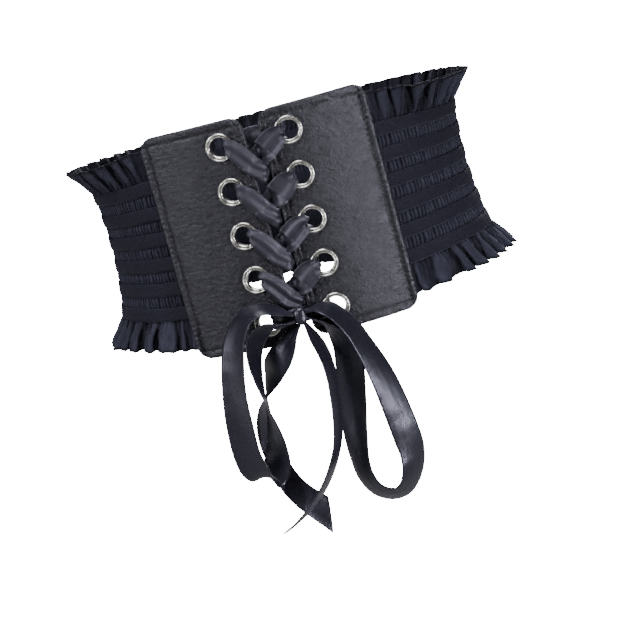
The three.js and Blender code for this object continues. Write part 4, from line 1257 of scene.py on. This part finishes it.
spins = np.linspace(0, 2 * math.pi, KNOT_SEGMENTS + 1)
around, over = np.meshgrid(spins, np.linspace(0, math.pi, KNOT_RINGS + 1))
ball = np.stack([np.sin(over) * np.cos(around), np.sin(over) * np.sin(around), np.cos(over)], -1)
squared = ball / (np.abs(ball) ** KNOT_SQUARENESS).sum(-1, keepdims=True) ** (1 / KNOT_SQUARENESS)
wide, tall = ball[..., 0], ball[..., 2]
folds = np.sin(9 * wide + 4 * tall + 1.2) * 0.5 + np.sin(15 * wide - 3 * tall) * 0.3
band = smooth(-np.abs(wide - 0.25 * tall), -0.42, -0.34)
size = KNOT_SNUGNESS + (KNOT_FOLD_RISE * folds * (1 - band) + KNOT_BAND_RISE * band) * np.sin(over)
lump = squared * size[..., None] * (np.array(KNOT_SIZE) / 2) + knot_centre
points = [*lump[1:-1, :-1].reshape(-1, 3).tolist(), lump[0, 0].tolist(), lump[-1, 0].tolist()]
faces = ring_faces(KNOT_RINGS - 1, KNOT_SEGMENTS, False)
last_ring = (KNOT_RINGS - 2) * KNOT_SEGMENTS
for k in range(KNOT_SEGMENTS):
    beside = (k + 1) % KNOT_SEGMENTS
    faces += [(len(points) - 2, k, beside), (len(points) - 1, last_ring + beside, last_ring + k)]
knot_mesh = plain_mesh("dressed_bow_knot", points, (), faces)
knot_mesh.shade_smooth()
knot_mesh.materials.append(satin)
wound = np.array([v.co[:] for v in knot_mesh.vertices], np.float32)[:, [2, 0, 1]]
knot_mesh.attributes.new("lay", "FLOAT_VECTOR", "POINT").data.foreach_set("vector", wound.ravel())
knot = put("dressed_bow_knot", knot_mesh)
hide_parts("bow_knot")
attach(knot, "root")
print("the knot has", len(knot_mesh.polygons), "faces")

# %% [markdown]
# An eyelet is a drawn metal ring: a domed flange on the front, a short barrel through the leather and a
# washer behind. Its outline is turned round an axis once, and Geometry Nodes put a copy at each of the
# ten holes. The points that carry the copies also say which way is outwards.

# %% Eyelets
EYELET_HOLE = 5.9 * MM
BARREL = EYELET_HOLE + 0.7 * MM
WASHER_RADIUS = 8.2 * MM
EYELET_SEGMENTS = 56
behind = WASHER_BACK - PANEL_FRONT
EYELET_PROFILE = [  # radius, height over the leather
    (EYELET_HOLE, behind + 0.15 * MM),
    (EYELET_HOLE, FLANGE_BACK - PANEL_FRONT),
    *((EYELET_HOLE + wider * MM, up * MM) for wider, up in (
        (0.05, 0.60), (0.25, 1.00), (0.60, 1.05), (0.85, 0.80), (1.00, 0.40), (1.15, 0.90),
        (1.45, 1.50), (1.85, 1.70), (2.25, 1.50), (2.60, 1.00), (2.82, 0.45))),
    (FLANGE_RADIUS, 0.10 * MM),
    (FLANGE_RADIUS - 0.15 * MM, -0.10 * MM),
    (FLANGE_RADIUS - 0.45 * MM, -0.05 * MM),
    (BARREL + 0.3 * MM, 0.08 * MM),
    (BARREL, -0.2 * MM),
    (BARREL, behind + 0.75 * MM),
    (WASHER_RADIUS - 0.2 * MM, behind + 0.75 * MM),
    (WASHER_RADIUS, behind + 0.5 * MM),
    (WASHER_RADIUS - 0.2 * MM, behind + 0.1 * MM),
    (BARREL, behind),
]
spin = np.linspace(0, 2 * math.pi, EYELET_SEGMENTS, endpoint=False)
ring_points = [(r * math.cos(a), r * math.sin(a), h) for a in spin for r, h in EYELET_PROFILE]
ring_mesh = plain_mesh("eyelet_ring", ring_points, (), ring_faces(EYELET_SEGMENTS, len(EYELET_PROFILE), True))
ring = put("eyelet_ring", ring_mesh)


def facing_of(tree):
    return wire(tree, "GeometryNodeInputNamedAttribute", {"Name": "facing"}, data_type="FLOAT_VECTOR")


def copies_on(points, given, rotation):
    """A copy of the given object at every point, as the end of a tree."""
    sockets = {"Points": points, "Instance": geometry_of(given("Copy")), "Rotation": rotation}
    finish_recipe(points.tree, wire(points.tree, "GeometryNodeInstanceOnPoints", sockets), given("Finish"))


ringed = {"Copy": ring, "Finish": nickel}
tree, given = recipe("copies_facing_outwards", ringed)
aim = wire(tree, "FunctionNodeAlignRotationToVector", {"Vector": facing_of(tree)}, axis="Z")
copies_on(given("Geometry"), given, aim)


def points_facing(name, points, directions, edges=()):
    mesh = plain_mesh(name, [tuple(p) for p in points], edges)
    ways = np.asarray(directions, np.float32).ravel()
    mesh.attributes.new("facing", "FLOAT_VECTOR", "POINT").data.foreach_set("vector", ways)
    return mesh


for side_name, side in (("left", -1), ("right", 1)):
    along = side * (panel_inner_edge + EYELET_INSET)
    seats = [place(along, height, PANEL_FRONT) for height in eyelet_heights]
    seat_mesh = points_facing("eyelet_seats", seats, [outward(along)] * len(seats))
    eyelets = cook(f"dressed_eyelets_{side_name}", seat_mesh, tree, ringed)
    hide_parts(*(f"eyelet_{side_name}_{row + 1}" for row in range(EYELETS_PER_PANEL)))
    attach(eyelets, "root")
bpy.data.objects.remove(ring)

# %% [markdown]
# A seam is a row of equal stitches that dive into the leather at both ends. One small rounded stitch is
# copied along each seam's line, every stitch turned to the line and to the surface. This is what the
# Geometry Nodes steps Resample Curve and Instance on Points are for.

# %% Stitches
STITCH_LENGTH = 2.5 * MM
STITCH_WIDTH = 0.55 * MM
STITCH_SIDES = 6
STITCH_DIVE = 0.9 * STITCH_WIDTH
STITCH_LIFT = 0.25 * STITCH_WIDTH
STITCH_PROFILE = [(-0.5, 0.25), (-0.36, 0.8), (0.0, 1.0), (0.36, 0.8), (0.5, 0.25)]  # place, thickness
stitch_points = []
for at, swell in STITCH_PROFILE:
    for k in range(STITCH_SIDES):
        a = 2 * math.pi * k / STITCH_SIDES
        radius = swell * STITCH_WIDTH / 2
        up = radius * math.sin(a) - STITCH_DIVE * (2 * at) ** 2 + STITCH_LIFT
        stitch_points.append((at * STITCH_LENGTH, radius * math.cos(a), up))
last_ring = len(stitch_points) - STITCH_SIDES
stitch_faces = ring_faces(len(STITCH_PROFILE), STITCH_SIDES, False)
stitch_faces += [tuple(range(STITCH_SIDES)), tuple(reversed(range(last_ring, len(stitch_points))))]
one_stitch = put("one_stitch", plain_mesh("one_stitch", stitch_points, (), stitch_faces))

stitched = {"Copy": one_stitch, "Pitch": STITCH_PITCH, "Finish": thread}
tree, given = recipe("stitches_along_lines", stitched)
seam_lines = wire(tree, "GeometryNodeMeshToCurve", {"Mesh": given("Geometry")})
sockets = {"Curve": seam_lines, "Length": given("Pitch")}
dots = wire(tree, "GeometryNodeResampleCurve", sockets, mode="LENGTH")
tangent = wire(tree, "GeometryNodeInputTangent")
aim = wire(tree, "FunctionNodeAlignRotationToVector", {"Vector": tangent}, axis="X")
aim = wire(tree, "FunctionNodeAlignRotationToVector", {"Rotation": aim, "Vector": facing_of(tree)},
           axis="Z", pivot_axis="X")
copies_on(dots, given, aim)

# %% [markdown]
# Every panel has a seam along its top and bottom, one beside the bead, and two near the lacing.

# %% Seams
SEAM_STEP = 2 * MM
STITCH_SEAT = PANEL_FRONT + 0.12 * MM
for side_name, side, seed in (("left", -1, 11), ("right", 1, 23)):
    points, directions, edges = [], [], []

    def seam(across, height):
        along = side * (panel_inner_edge + across)
        start = len(points)
        points.extend(place(along, height, STITCH_SEAT + panel_relief(across, height, seed)[0]))
        directions.extend(outward(along))
        edges.extend((k, k + 1) for k in range(start, len(points) - 1))

    edge_rows = np.arange(4 * MM, PANEL_WIDTH - BEAD_WIDTH - 2 * MM, SEAM_STEP)
    edge_columns = np.arange(-PANEL_HEIGHT / 2 + 5 * MM, PANEL_HEIGHT / 2 - 5 * MM, SEAM_STEP)
    for end in (-1, 1):
        seam(edge_rows, np.full(len(edge_rows), end * (PANEL_HEIGHT / 2 - SEAM_INSET)))
    for inset in (*INNER_SEAMS, OUTER_SEAM):
        seam(np.full(len(edge_columns), inset), edge_columns)
    seam_mesh = points_facing("seam_lines", points, directions, edges)
    stitches = cook(f"panel_stitches_{side_name}", seam_mesh, tree, stitched)
    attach(stitches, "root")
bpy.data.objects.remove(one_stitch)

# %% [markdown]
# The helper object goes.

bpy.data.objects.remove(belt_oval)
